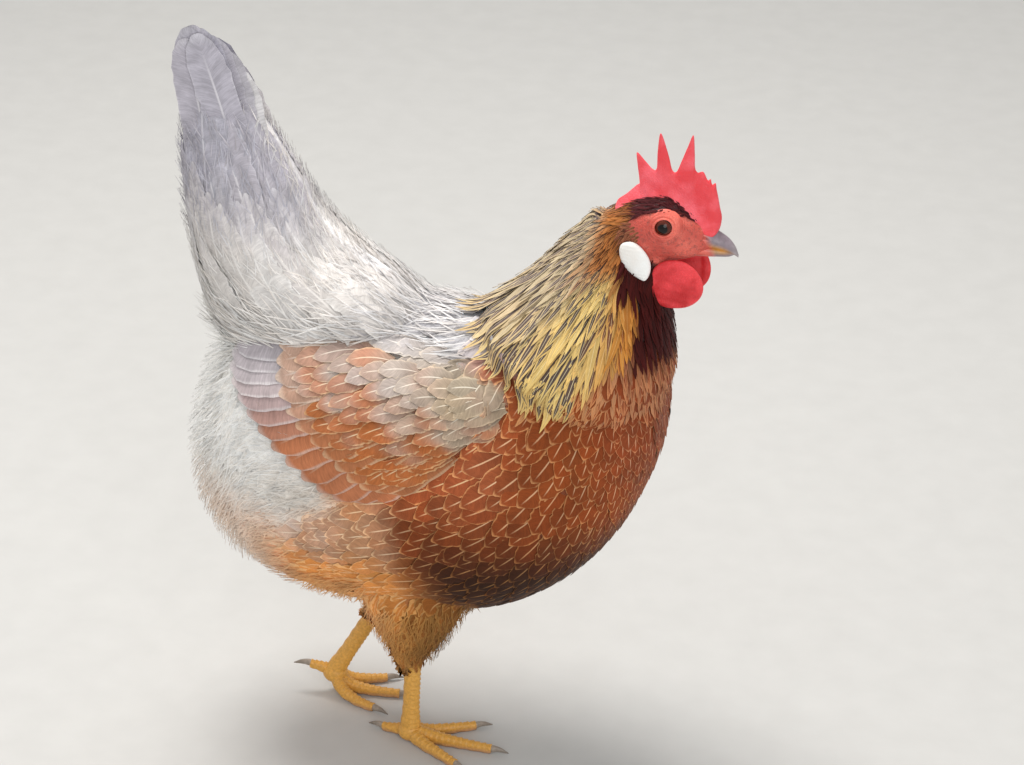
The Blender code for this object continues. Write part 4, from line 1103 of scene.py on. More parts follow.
def flesh_material(name, hex_name, wrinkle, depth, roughness=0.45, pale=1.25, weight=0.25,
                   deep=(0.72, 0.5, 0.5)):
    """Bare skin over blood vessels: red, finely grained with painted shade in the grain's pits, soft under the
    surface and a little greasy.
    """
    material, tree, shader = new_material(name, roughness=roughness, specular=0.35, subsurface=weight,
                                          radius=(1.0, 0.35, 0.25))
    spot = (add_node(tree, PLACE), "Object")
    cells = add_node(tree, "ShaderNodeTexVoronoi", {"feature": "F1"},
                     {"Vector": spot, "Scale": 1000.0 / wrinkle, "Randomness": 1.0})
    folds = add_node(tree, NOISE, None, {"Vector": spot, "Scale": 260.0, "Detail": 5.0, "Roughness": 0.6})
    large = add_node(tree, NOISE, None, {"Vector": spot, "Scale": 60.0, "Detail": 3.0})
    tone = colour(hex_name)
    deep = (*(tone * np.array(deep)), 1.0)
    light = (*np.clip(tone * np.array((pale, pale * 1.15, pale * 1.15)), 0, 1), 1.0)
    flushed = add_node(tree, RANGE, SMOOTH, [large, 0.38, 0.62])
    patch = add_node(tree, MIX, TINT, {0: flushed, 6: deep, 7: light})
    # The pits of the cells, sunk in the bump below, are painted deeper red: painted shade in them
    grain = add_node(tree, RANGE, SMOOTH, [cells, 0.1, 0.6, 0.0, 0.35])
    final = add_node(tree, MIX, TINT, {0: grain, 6: (patch, 2), 7: deep})
    pits = add_node(tree, MATH, TIMES, [cells, -0.9])
    height = add_node(tree, MATH, TIMES_PLUS, [folds, 0.8, pits])
    if name.startswith("bare"):
        spots = add_node(tree, NOISE, None, {"Vector": spot, "Scale": 420.0, "Detail": 4.0, "Roughness": 0.7})
        dull = (*(tone * np.array((0.5, 0.55, 0.6))), 1.0)
        speckled = add_node(tree, RANGE, SMOOTH, [spots, 0.48, 0.66, 0.0, 0.75])
        final = add_node(tree, MIX, TINT, {0: speckled, 6: (final, 2), 7: dull})
        down = add_node(tree, ATTRIBUTE, {"attribute_name": "ground"})
        bare = add_node(tree, ATTRIBUTE, {"attribute_name": "bare"})
        final = add_node(tree, MIX, TINT, {0: (bare, "Fac"), 6: down, 7: (final, 2)})
        height = eye_folds(tree, spot, height)
    bump = add_node(tree, BUMP, None, {"Strength": 0.6, "Distance": depth * MM, "Height": height})
    connect(tree, shader, final, bump)
    return material


def eye_folds(tree, spot, height):
    """Adds rings round the eye to the height: the sine of the distance from it, fading out 14 mm away."""
    split = add_node(tree, SPLIT, None, [spot])
    squares = []
    for axis, middle in zip("XZ", to_frame(EYE)[[0, 2]]):
        away = add_node(tree, MATH, MINUS, [(split, axis), float(middle)])
        squares.append(add_node(tree, MATH, TIMES, [away, away]))
    square = add_node(tree, MATH, {"operation": "ADD"}, squares)
    far = add_node(tree, MATH, {"operation": "SQRT"}, [square])
    phase = add_node(tree, MATH, TIMES, [far, 2 * math.pi / (1.5 * MM)])
    ring = add_node(tree, MATH, SINE, [phase])
    fade = add_node(tree, RANGE, SMOOTH, [far, 8.5 * MM, 14.0 * MM, 0.35, 0.0])
    return add_node(tree, MATH, TIMES_PLUS, [ring, fade, height])


def toned_material(name, roughness, grain_mm, depth, strength=0.4, **finish_values):
    """A hard or leathery surface in the colour of its own attribute, with a grain in tone and height."""
    material, tree, shader = new_material(name, roughness=roughness, **finish_values)
    spot = (add_node(tree, PLACE), "Object")
    tone = add_node(tree, ATTRIBUTE, {"attribute_name": "tone"})
    noise = add_node(tree, NOISE, None,
                     {"Vector": spot, "Scale": 1000.0 / grain_mm, "Detail": 4.0, "Roughness": 0.6})
    shade = add_node(tree, RANGE, SMOOTH, [noise, 0.25, 0.75, 0.8, 1.12])
    grey = add_node(tree, GREY, None, [shade] * 3)
    toned = add_node(tree, MIX, SHADE, {0: 1.0, 6: tone, 7: grey})
    bump = add_node(tree, BUMP, None, {"Strength": strength, "Distance": depth * MM, "Height": noise})
    connect(tree, shader, toned, bump)
    return material


# Operators

class HEN_OT_skin(bpy.types.Operator):
    """One closed skin over the torso, neck, head, thighs, wings and tail core"""
    bl_idname = "hen.skin"
    bl_label = "Skin"

    def execute(self, context):
        points, faces = joined(body_shells())
        item = build("flesh", points, faces)
        remesh = item.modifiers.new("one surface", "REMESH")
        remesh.mode = "VOXEL"
        remesh.voxel_size = 1.8 * MM
        ease = item.modifiers.new("ease", "SMOOTH")
        ease.factor, ease.iterations = 0.5, 6
        mesh = bpy.data.meshes.new_from_object(item.evaluated_get(context.evaluated_depsgraph_get()))
        old = item.data
        bpy.data.objects.remove(item)
        bpy.data.meshes.remove(old)
        flat = np.empty(len(mesh.vertices) * 3)
        mesh.vertices.foreach_get("co", flat)
        spots = eye_socket(flat.reshape(-1, 3) / MM - SHIFT)
        mesh.vertices.foreach_set("co", to_frame(spots).astype(np.float32).ravel())
        mesh.update()
        mesh.shade_smooth()
        mesh.name = "skin"
        add_attribute(mesh, "ground", plumage(spots)[:, 0] * 0.8)
        add_attribute(mesh, "bare", bare_face(spots))
        layer = mesh.uv_layers.new(name="OFBake")
        loops = np.empty(len(mesh.loops), np.int32)
        mesh.loops.foreach_get("vertex_index", loops)
        layer.data.foreach_set("uv", unwrap(spots)[loops].astype(np.float32).ravel())
        skin = bpy.data.objects.new("skin", mesh)
        context.scene.collection.objects.link(skin)
        face = flesh_material("bare face skin and down", "face", 0.9, 0.8, 0.5, deep=(0.84, 0.66, 0.66))
        finish(skin, face, "face_skin", "torso", "neck", "head", "thigh_right", "thigh_left")
        return {"FINISHED"}


def from_tuft(points):
    """Distance in the side view from the middle of the ear tuft."""
    return np.hypot(points[:, 0] - EAR_TUFT[0], points[:, 2] - EAR_TUFT[1])


def bare_face(points):
    """1 on the bare face: from the bill to behind the eye, below the brow and above the throat."""
    x, _, z = points.T
    brow = np.interp(x, (128, 135, 145, 155, 165, 172, 182), (366, 370, 375, 377, 374, 369, 364))
    under = np.interp(x, (128, 140, 150, 160, 172, 184), (355, 350, 345, 343, 343, 345))
    return smooth(-1.0, 1.0, np.minimum(brow - z, z - under)) * smooth(133, 137, x)


class FeatherCoat:
    """What the operators of the coats share: each grows one piece of vanes and gives it its material."""
    slot = "breast_plumage"
    keratin = ("breast feather keratin", 1.2)

    def execute(self, context):
        points = hide().points
        finish(self.grow(points, regions(points)), feather_material(*self.keratin), self.slot)
        return {"FINISHED"}


# What feather_material takes for coats that share one: name, barb pitch, whether lancets, softness
BACK_KERATIN = ("back feather keratin", 1.1)
HACKLE_KERATIN = ("cape feather keratin", 1.2, True)
DOWN_KERATIN = ("down", 1.6, False, 1.0)


class HEN_OT_breast(FeatherCoat, bpy.types.Operator):
    """Rounded salmon-brown feathers over the breast, the sides and the belly"""
    bl_idname = "hen.breast"
    bl_label = "Breast and side feathers"

    def grow(self, points, mask):
        x, _, z = points.T
        share, _ = cape_share(points)
        where = (share > 0.80) & (z < 292) & (mask["wing"] < 0.5) & (mask["thigh"] < 0.6)
        where &= (mask["fluff"] < 0.6) | (mask["cells"] > 0.4)
        where &= (x > -60) & ((z < 275 - 0.1 * np.clip(40 - x, 0, 200)) | ((x > 126) & (z < 302)))

        def smaller(r):
            return 1 - 0.42 * smooth(90, 150, r[:, 0]) - 0.16 * smooth(8, -8, r[:, 0])
        return coat("breast", where, ROUND, 11, lace_from=0.84, crown=0.06, turn=4.0, thick=0.15, across=3,
                    packing=smaller, scale=smaller, looks=lambda r, rng: vary(plumage(r), 0.16, 12, 0.08))


class HEN_OT_back(FeatherCoat, bpy.types.Operator):
    """Pale lanceolate feathers over the back and saddle"""
    bl_idname = "hen.back"
    bl_label = "Back and saddle feathers"
    slot = "wing_plumage"
    keratin = BACK_KERATIN

    def grow(self, points, mask):
        x, _, z = points.T
        share, _ = cape_share(points)
        where = (share > 0.74) & (z > 262) & (z < 322) & (x > -48) & (x < 100) & (mask["wing"] < 0.6)

        def looks(r, rng):
            look = vary(plumage(r), 0.06, 22, 0.02)
            grey = rng.random(len(r)) < 0.3
            look[grey, 0] *= 0.8
            return look
        return coat("back", where, ROUND, 21, lace_from=0.78, crown=0.06, thick=0.15, across=3, looks=looks,
                    turn=8.0)


class HEN_OT_cape(FeatherCoat, bpy.types.Operator):
    """Long pointed feathers of the cape with dark centre streaks"""
    bl_idname = "hen.cape"
    bl_label = "Cape feathers"
    slot = "hackle_plumage"
    keratin = HACKLE_KERATIN

    def grow(self, points, mask):
        x, _, z = points.T
        share, angle = cape_share(points)
        where = (share > 0.16) & (share < 0.68) & (x > 20) & (z > 225) & (z < 364) & (angle > 150)

        def scale(r):
            part, angle = cape_share(r)
            reach = np.interp(angle, *np.array(CAPE_REACH, float).T)
            short_of_edge = (1.02 - part) * reach / sizes().cape_length
            return np.minimum(0.4 + 0.65 * smooth(0.12, 0.55, part), short_of_edge)

        def looks(r, rng):
            look = vary(plumage(r), 0.08, 32, 0.04)
            plain = rng.random(len(r)) < 0.25 + 0.6 * smooth(252, 270, cape_share(r)[1])
            look[plain, 0] = look[plain, 1] * 0.85
            return look
        return coat("cape", where, POINTED, 31, scale=scale, lace_from=0.5, crown=0.15, looks=looks, turn=5.0,
                    at=0.0, over=1.2, sweep=0.6,
                    packing=lambda r: 0.55 + 0.45 * smooth(0.15, 0.5, cape_share(r)[0]))


class HEN_OT_neck(FeatherCoat, bpy.types.Operator):
    """Short narrow feathers at the top of the neck and on the throat"""
    bl_idname = "hen.neck"
    bl_label = "Neck and throat feathers"
    slot = "hackle_plumage"
    keratin = HACKLE_KERATIN

    def grow(self, points, mask):
        x, _, z = points.T
        share, _ = cape_share(points)
        where = (bare_face(points) < 0.2) & (z > 270) & (x > 88) & (share < 2.2) & (z < 374)
        where &= ((z < 343) | (x < 137)) & (from_tuft(points) > EAR_TUFT_RADIUS + 0.5)

        def looks(r, rng):
            look = vary(plumage(r), 0.12, 42, 0.06)
            plain = rng.random(len(r)) < 0.4
            look[plain, 0] = look[plain, 1] * 0.8
            return look

        def smaller(r):
            return 0.55 + 0.5 * smooth(0.05, 0.5, cape_share(r)[0])
        return coat("neck", where, SMALL, 41, lace_from=0.45, crown=0.15, looks=looks, across=3, over=0.6,
                    at=0.0, scale=smaller, packing=smaller)


class HEN_OT_fluff(FeatherCoat, bpy.types.Operator):
    """Loose white down of the rear and lower flank"""
    bl_idname = "hen.fluff"
    bl_label = "Fluff"
    keratin = DOWN_KERATIN

    def grow(self, points, mask):
        z = points[:, 2]
        where = (mask["fluff"] > 0.3) & (mask["wing"] < 0.4) & (z < 282) & (mask["cells"] < 0.85)
        return coat("fluff", where, ROUND, 51, lace_from=0.3, crown=0.1, ragged=0.35, turn=12.0, thick=0.15,
                    across=3, looks=lambda r, rng: vary(plumage(r), 0.05, 52, 0.02))


class HEN_OT_rump(FeatherCoat, bpy.types.Operator):
    """Feathers that rise from the saddle onto the tail"""
    bl_idname = "hen.rump"
    bl_label = "Rump feathers"
    slot = "tail_plumage"
    keratin = BACK_KERATIN

    def grow(self, points, mask):
        x, _, z = points.T
        where = (x < -28) & (z > 266) & (z < 352) & (mask["wing"] < 0.6)
        return coat("rump", where, ROUND, 61, lace_from=0.7, crown=0.08, turn=9.0, thick=0.15, across=3,
                    ragged=0.14, looks=lambda r, rng: vary(plumage(r), 0.06, 62, 0.03))


class HEN_OT_saddle(FeatherCoat, bpy.types.Operator):
    """Fine loose strands over the back, the saddle and the base of the tail"""
    bl_idname = "hen.saddle"
    bl_label = "Saddle strands"
    slot = "tail_plumage"
    keratin = DOWN_KERATIN

    def grow(self, points, mask):
        x, _, z = points.T
        share, _ = cape_share(points)
        where = (share > 0.95) & (x < 70) & (z > 268) & (z < 392) & (mask["wing"] < 0.3)
        return coat("saddle", where, LOCK, 64, lace_from=0.0, crown=0.3, across=3, ragged=0.0, turn=16.0,
                    thick=0.15, sink=0.2, over=2.2, stand=lambda r: 1 + 1.0 * smooth(292, 326, r[:, 2]),
                    looks=lambda r, rng: vary(plumage(r), 0.16, 65, 0.03))


class HEN_OT_coverts(bpy.types.Operator):
    """Rows of small rounded feathers over the folded wings"""
    bl_idname = "hen.coverts"
    bl_label = "Wing coverts"

    def execute(self, context):
        spacing, length, half, lift = measures("coverts")
        rng = np.random.default_rng(71)
        tip_line, shoulder = np.array(WING_TIERS[1][2]), np.array(WING_SHOULDER)
        lines, facings = [], []
        for side in SIDES:
            for number, share in enumerate(WING_ROWS):
                tips = tip_line + (shoulder - tip_line) * share
                count = max(int(np.hypot(*np.diff(tips, axis=0).T).sum() / spacing), 5)
                rank = (np.arange(count) + 0.5 * (number % 2)) / (count - 0.5)
                tip = spline(tips, rank * (len(tips) - 1)) + rng.uniform(-1.6, 1.6, (count, 2))
                slant = np.radians(32 - 24 * rank + rng.normal(0, 5, count))
                reach = length * (1 - 0.25 * share) * rng.uniform(0.9, 1.15, count)
                root = tip + reach[:, None] * np.stack([np.cos(slant), np.sin(slant)], -1)
                line, facing = wing_lines(root, tip, side, ROUND[:, 0], -1.0, 1.5 + lift)
                lines.append(line)
                facings.append(facing)
        line, facing = np.concatenate(lines), np.concatenate(facings)
        look = plumage(line[:, 7], 1.0)
        orange = plume("wing_lower")
        some = (rng.random(len(look)) < 0.28) * rng.uniform(0.15, 0.5, len(look))
        some = some * smooth(30, -20, line[:, 7, 0])
        look = flowing(vary(look + (orange - look) * some[:, None, None], 0.08, 72, 0.05), line, 7, 0.8, 1.0)
        size = rng.uniform(0.9, 1.1, len(line))
        item = plume_piece("coverts_feathers", line, facing, half * size, ROUND[:, 1], ROUND[:, 0], look, 0.8,
                           length * size, crown=0.08, thick=0.15, seed=73)
        finish(item, feather_material("wing feather keratin", 1.2), "wing_plumage")
        return {"FINISHED"}


class HEN_OT_thighs(FeatherCoat, bpy.types.Operator):
    """Soft orange-brown feathers of the thighs"""
    bl_idname = "hen.thighs"
    bl_label = "Thigh feathers"
    slot = "thigh_plumage"
    keratin = DOWN_KERATIN

    def grow(self, points, mask):
        z = points[:, 2]
        where = (mask["thigh"] > 0.08) & (z > 64)
        return coat("thigh", where, ROUND, 81, lace_from=0.4, crown=0.1, ragged=0.35, turn=9.0, thick=0.15,
                    across=3, scale=lambda r: 0.45 + 0.6 * smooth(64, 110, r[:, 2]),
                    looks=lambda r, rng: vary(plumage(r), 0.12, 82, 0.06))


class HEN_OT_down(FeatherCoat, bpy.types.Operator):
    """Fine loose strands that stand out from the fluff"""
    bl_idname = "hen.down"
    bl_label = "Down strands"
    keratin = DOWN_KERATIN

    def grow(self, points, mask):
        z = points[:, 2]
        where = (mask["fluff"] > 0.35) & (mask["wing"] < 0.3) & (z < 276) & (z > 120) & (mask["cells"] < 0.5)
        where |= (mask["thigh"] > 0.4) & (z > 76)
        return coat("down", where, LOCK, 55, lace_from=0.0, crown=0.3, across=3, ragged=0.0, turn=24.0,
                    thick=0.15, stand=lambda r: 1 + 0.9 * smooth(-84, -104, r[:, 0]),
                    looks=lambda r, rng: vary(plumage(r), 0.08, 56, 0.03))


class HEN_OT_crown(FeatherCoat, bpy.types.Operator):
    """Short dark bristly feathers between the comb and the face, and the ear tuft"""
    bl_idname = "hen.crown"
    bl_label = "Crown feathers"
    slot = "face_skin"
    keratin = ("cape feather keratin", 1.2)

    def grow(self, points, mask):
        x, _, z = points.T
        band = (bare_face(points) < 0.3) & (z > 362) & (x > 118) & (x < 176)
        tuft = from_tuft(points) < EAR_TUFT_RADIUS

        def looks(r, rng):
            look = vary(plumage(r), 0.25, 92, 0.1)
            tufted = from_tuft(r) < EAR_TUFT_RADIUS + 0.5
            look[tufted] = vary(plume("tuft")[None].repeat(tufted.sum(), 0), 0.2, 93)
            return look
        return coat("crown", band | tuft, LOCK, 91, lace_from=0.5, crown=0.3, across=3, ragged=0.0, turn=12.0,
                    at=0.0, thick=0.12, sink=-0.3, looks=looks)


def wing_height(x, z):
    """Height of the folded wing over the torso's side: its core's swelling, at its rear at least 2.6 mm."""
    table = np.array(WING)
    low, high, thick = (np.interp(x, table[:, 0], table[:, k]) for k in (1, 2, 3))
    up = np.clip((z - low) / (high - low), 0, 1)
    swell = thick * np.sin(math.pi * up) ** 0.7 * smooth(-80, -66, x) * smooth(74, 60, x)
    return np.hypot(swell, 2.6 * smooth(40, 0, x))


def wing_lines(root, tip, side, rows, low, high):
    """Centre lines over the wing from root to tip, straight in the side view but for a low bow.

    They rise from the low to the high height as the share along to the power 0.8, and each faces a little up
    so that it laps over the next.
    """
    t = rows[None]
    flat = root[:, None] + (tip - root)[:, None] * t[..., None]
    bow = 0.1 * np.linalg.norm(tip - root, axis=1)[:, None] * np.sin(math.pi * t) * 0.5
    x, z = flat[..., 0], flat[..., 1] + bow
    line, normals = flank(x, z, side, wing_height(x, z) + low + (high - low) * t ** 0.8)
    return line, unit(normals + np.array((0.0, 0.0, 0.16)))


class HEN_OT_wings(bpy.types.Operator):
    """Long flight feathers and greater coverts of the folded wings, in tiers"""
    bl_idname = "hen.wings"
    bl_label = "Flight feathers of the wings"

    def execute(self, context):
        rows = np.linspace(0, 1, 16)
        outline = np.interp(rows, (0, 0.3, 0.75, 0.9, 0.96, 1.0), (0.6, 0.95, 1.0, 0.88, 0.62, 0.2))
        for side, label in zip(SIDES, SIDE_NAMES):
            line, normals, half, looks = [], [], [], []
            for number, (tier, kind) in enumerate(zip(WING_TIERS, ("flight", "greater"))):
                root, tip = even(tier[:2], tier[3]), even(tier[2], tier[3])
                one, facing = wing_lines(root, tip, side, rows, *tier[5])
                line.append(one)
                normals.append(facing)
                half.append(np.full(len(one), tier[4]))
                rank = np.linspace(0, 1, len(one))[:, None, None]
                low, high = plume(f"{kind}_low"), plume(f"{kind}_high")
                looks.append(vary(low + (high - low) * smooth(0.45, 0.85, rank), 0.08, 101 + number, 0.04))
            item = plume_piece(f"flight_feathers_{label}", np.concatenate(line), np.concatenate(normals),
                               np.concatenate(half), outline, rows, np.concatenate(looks), 0.8, REMEX_LENGTH,
                               across=7, crown=0.06, thick=0.4, sweep=0.35, ragged=0.04, seed=103)
            finish(item, feather_material("wing feather keratin", 1.2), "wing_plumage", f"wing_{label}")
        return {"FINISHED"}


class HEN_OT_tail(bpy.types.Operator):
    """Main tail feathers in two halves that meet at a ridge, with their long coverts"""
    bl_idname = "hen.tail"
    bl_label = "Tail feathers"

    def execute(self, context):
        rows = np.linspace(0, 1, 28)
        outline = np.interp(rows, (0, 0.35, 0.8, 0.93, 0.975, 1.0), (0.55, 0.95, 1.0, 0.86, 0.64, 0.3))
        lines, normals = [], []
        for side in SIDES:
            tip_x, tip_y, tip_z, root_x, root_y = np.array(RECTRICES).T
            root = np.stack([root_x, side * root_y, np.full(len(root_x), RECTRIX_ROOT_Z)], -1)
            tip = np.stack([tip_x, side * tip_y, tip_z], -1) + np.array(FAR_HALF) * (side > 0)
            bow = np.sin(math.pi * rows)[None, :, None] * np.array((3.0, 0.0, 0.0))
            lines.append(root[:, None] + (tip - root)[:, None] * rows[None, :, None] + bow)
            face = unit(np.array([RECTRIX_FACE[0], side * RECTRIX_FACE[1], 0.0]))
            normals.append(np.broadcast_to(face, lines[-1].shape))
        line, normal = np.concatenate(lines), np.concatenate(normals)
        grey = plume("tail")
        # The middle feathers are whiter: partly their own white, partly painted light that lifts the far half's
        # inner faces out of their shade
        rim = np.tile(np.exp(-np.arange(len(RECTRICES)) / 0.7), 2)[:, None, None]
        looks = vary(grey + (colour("middle_tail") - grey) * rim * 0.7, 0.06, 111, 0.01)
        item = plume_piece("tail_feathers", line, normal, np.full(len(line), RECTRIX_HALF), outline, rows,
                           looks, 0.9, RECTRIX_LENGTH, across=9, crown=0.03, thick=0.4, sweep=0.3,
                           ragged=0.06, seed=112)
        finish(item, feather_material("tail feather keratin", 1.1), "tail_plumage", "tail")
        rng = np.random.default_rng(115)
        lines, normals, half, length, front, bends = [], [], [], [], [], []
        for root_z, tip_z, last, count, wide in TAIL_COVERTS:
            for side in SIDES:
                place = np.linspace(0, last, count)[:, None]
                place = place + rng.uniform(-0.04, 0.04, (count, 1)) * (count > 1)
                turn = np.clip(place, 0.0, 1.0) + rng.uniform(-0.07, 0.07, (count, 1)) * rows * (place > 0.05)
                reach = tip_z - root_z + rng.uniform(-22, 12, (count, 1))
                loose = rng.uniform(-0.4, 0.8, (count, 1)) * rows
                out = -1.0 + 3.0 * smooth(0.0, 0.5, rows) + 1.6 * rows + loose
                turn, level = np.clip(turn, 0, 1), root_z + reach * rows[None]
                one, facing = tail_side(turn, level, side, out)
                bends.append(tail_bend(turn, level))
                lines.append(one)
                normals.append(facing - np.array((0.1, 0.0, 0.0)))
                narrow = 0.6 + 0.4 * smooth(0.0, 0.15, place[:, 0])
                half.append(wide * narrow * rng.uniform(0.9, 1.1, count))
                length.append(reach[:, 0])
                front.append(np.exp(-place[:, 0] / 0.05))
        line, normal = np.concatenate(lines), unit(np.concatenate(normals))
        pale = plume("rump")
        risen = smooth(312, 392, line[..., 2] + rng.uniform(-14, 14, (len(line), 1)))[..., None, None]
        white = np.concatenate(front)[:, None, None, None]
        uneven = vary(np.ones((len(line), 3, 3)), 0.05, 113, 0.02)[:, None]
        looks = uneven * (pale + (grey - pale) * risen * 0.95)
        looks = np.clip(looks + (colour("ridge") - looks) * 0.6 * white, 0, 1)
        outline = np.interp(rows, (0, 0.3, 0.6, 0.8, 0.92, 1.0), (0.5, 0.85, 1.0, 0.88, 0.6, 0.12))
        item = plume_piece("tail_coverts", line, normal, np.concatenate(half), outline, rows, looks, 0.85,
                           np.concatenate(length), across=9, crown=0.05, thick=0.3, sweep=0.7, ragged=0.08,
                           bend=np.concatenate(bends), seed=114)
        finish(item, feather_material("tail feather keratin", 1.1), "tail_plumage")
        return {"FINISHED"}


class HEN_OT_comb(bpy.types.Operator):
    """Toothed single comb, thin at its rim and thick at its base"""
    bl_idname = "hen.comb"
    bl_label = "Comb"

    def execute(self, context):
        rim = even(COMB, 300)
        base = np.stack([rim[:, 2], np.interp(rim[:, 2], *COMB_BASE)], -1)
        share = np.sin(np.linspace(0, 1, 22) * math.pi / 2)
        share = np.concatenate([share, share[-2::-1]])
        way = np.concatenate([-np.ones(22), np.ones(21)])
        flat = base[:, None] + (rim[:, None, :2] - base[:, None]) * share[None, :, None]
        high = smooth(370, 412, flat[..., 1])
        thick = COMB_HALF * (1 - 0.55 * high) * np.sqrt(np.clip(1 - share[None] ** 4, 0, 1))
        crown = np.interp(flat[..., 0], (120, 131, 143, 155, 165, 173, 180),
                          (367, 375, 380, 381, 375.5, 368, 362))
        thick += 2.8 * np.exp(-np.clip(flat[..., 1] - crown, 0, None) / 3) * (1 - share[None] ** 4)
        x, z = flat[..., 0], flat[..., 1]
        thick *= 1 + 0.10 * np.sin(x * 0.55 + 0.3 * z) * np.sin(z * 0.5)
        bend = 0.9 * np.sin((x - 150) / 22) * smooth(372, 410, z)
        item = build("comb_skin", *shell(np.stack([x, way[None] * thick + bend, z], -1)))
        finish(item, flesh_material("comb skin", "comb", 0.8, 0.4, 0.42, 1.35, 0.2, (0.85, 0.6, 0.6)),
               "red_skin", "comb")
        return {"FINISHED"}


class HEN_OT_wattles(bpy.types.Operator):
    """Two hanging red wattles with a soft fold along the front"""
    bl_idname = "hen.wattles"
    bl_label = "Wattles"

    def execute(self, context):
        t = np.linspace(0.02, 0.99, 48)[:, None]
        angle = around(56)
        for side, label in zip(SIDES, SIDE_NAMES):
            half, thick, high = WATTLE_SIZE
            z = WATTLE[2] + high * np.cos(math.pi * t)
            narrow = 0.86 + 0.14 * smooth(0, 0.6, t) - 0.2 * smooth(0.62, 1.0, t)
            wide = half * np.sin(math.pi * t) ** 0.8 * narrow
            deep = thick * np.sin(math.pi * t) ** 0.6 * (0.7 + 0.3 * t)
            x = WATTLE[0] + wide * np.cos(angle) - 2.0 * smooth(0.4, 1.0, t)
            line = WATTLE[0] + 7.5 + 2.5 * np.sin(math.pi * t)
            crease = -1.5 * np.exp(-((x - line) / 1.3) ** 2) * np.sin(math.pi * t) ** 0.6
            crease = crease * smooth(0.95, 0.6, t) + 0.22 * np.sin(1.1 * z + 0.25 * x) * np.sin(math.pi * t)
            y = WATTLE[1] + 0.158 * (z - WATTLE[2]) + (deep + crease) * np.sin(angle)
            y = y + 0.9 * np.sin(x * 0.3) * t
            item = build(f"wattle_skin_{label}", *shell(np.stack([x, side * y, z + 0 * x], -1)))
            finish(item, flesh_material("wattle skin", "wattle", 0.9, 0.35), "red_skin", f"wattle_{label}")
        return {"FINISHED"}


class HEN_OT_lobes(bpy.types.Operator):
    """White almond-shaped ear lobes, finely wrinkled"""
    bl_idname = "hen.lobes"
    bl_label = "Ear lobes"

    def execute(self, context):
        t = np.linspace(0.01, 0.99, 44)[:, None]
        angle = around(48)
        lean = math.radians(LOBE_LEAN)
        half, thick, high = LOBE_SIZE
        for side, label in zip(SIDES, SIDE_NAMES):
            up = high * np.cos(math.pi * t)
            wide = half * np.sin(math.pi * t) ** (0.7 + 0.5 * t) * (1.04 - 0.36 * smooth(0.45, 1.0, t))
            deep = thick * np.sin(math.pi * t) ** 0.6
            across = wide * np.cos(angle)
            wrinkle = 0.16 * np.sin(up * 2.4 + across * 0.9) * np.sin(math.pi * t)
            x = LOBE[0] + across * math.cos(lean) - up * math.sin(lean)
            z = LOBE[2] + across * math.sin(lean) * 0.6 + up * math.cos(lean)
            y = LOBE[1] + 1.0 + 0.07 * up + (deep + wrinkle) * np.sin(angle)
            item = build(f"ear_lobe_skin_{label}", *shell(np.stack([x, side * y, z], -1)))
            finish(item, flesh_material("ear lobe skin", "lobe", 1.2, 0.2, 0.4, 1.0, 0.0, (0.95, 0.94, 0.93)),
                   "white_skin", f"ear_lobe_{label}")
        return {"FINISHED"}


class HEN_OT_bill(bpy.types.Operator):
    """Upper and lower bill of horn with yellowish cutting edges and the nostrils"""
    bl_idname = "hen.bill"
    bl_label = "Bill"

    def execute(self, context):
        horn, edge = colour("bill"), colour("tomium")
        for name, rows in (("upper", BILL_UPPER), ("lower", BILL_LOWER)):
            rings = upright_rings(rows, 64, 64)
            x, y, z = np.moveaxis(rings, -1, 0)
            middle, high = even(rows, 64).T[1:3, :, None]
            up = (z - middle) / high
            if name == "upper":
                y = y * (1 - 0.22 * np.clip(up, 0, 1) ** 3)
                out = np.hypot(x - NOSTRIL[0], (z - NOSTRIL[2] + 0.35 * (x - NOSTRIL[0])) * 2.4)
                rim = 0.35 * np.exp(-((out - 3.2) / 1.0) ** 2)
                y = y - np.sign(y) * (0.8 * np.exp(-(out / 1.7) ** 2) - rim)
                low = smooth(0.1, -0.75, up)
            else:
                out = np.full_like(x, 99.0)
                low = smooth(-0.6, 0.7, up)
            tone = horn + (edge - horn) * (low * smooth(196, 186, x))[..., None]
            tone = tone + (np.array(BILL_TIP) - tone) * (smooth(189, 197, x) * 0.35)[..., None]
            tone = tone + (colour("face") - tone) * smooth(181.5, 176.5, x + 0.3 * (z - 360))[..., None]
            # The nostril's opening is painted near black: painted shade inside it
            tone = tone * (1 - 0.85 * np.exp(-(out / 1.3) ** 2))[..., None]
            points, faces = shell(np.stack([x, y, z], -1))
            tones = np.vstack([tone.reshape(-1, 3), tone[0].mean(0), tone[-1].mean(0)])
            item = build(f"bill_horn_{name}", points, faces, attributes={"tone": tones})
            keratin = toned_material("bill horn", 0.33, 3.0, 0.12, 0.3, specular=0.5)
            finish(item, keratin, "bill_horn", f"bill_{name}")
        return {"FINISHED"}


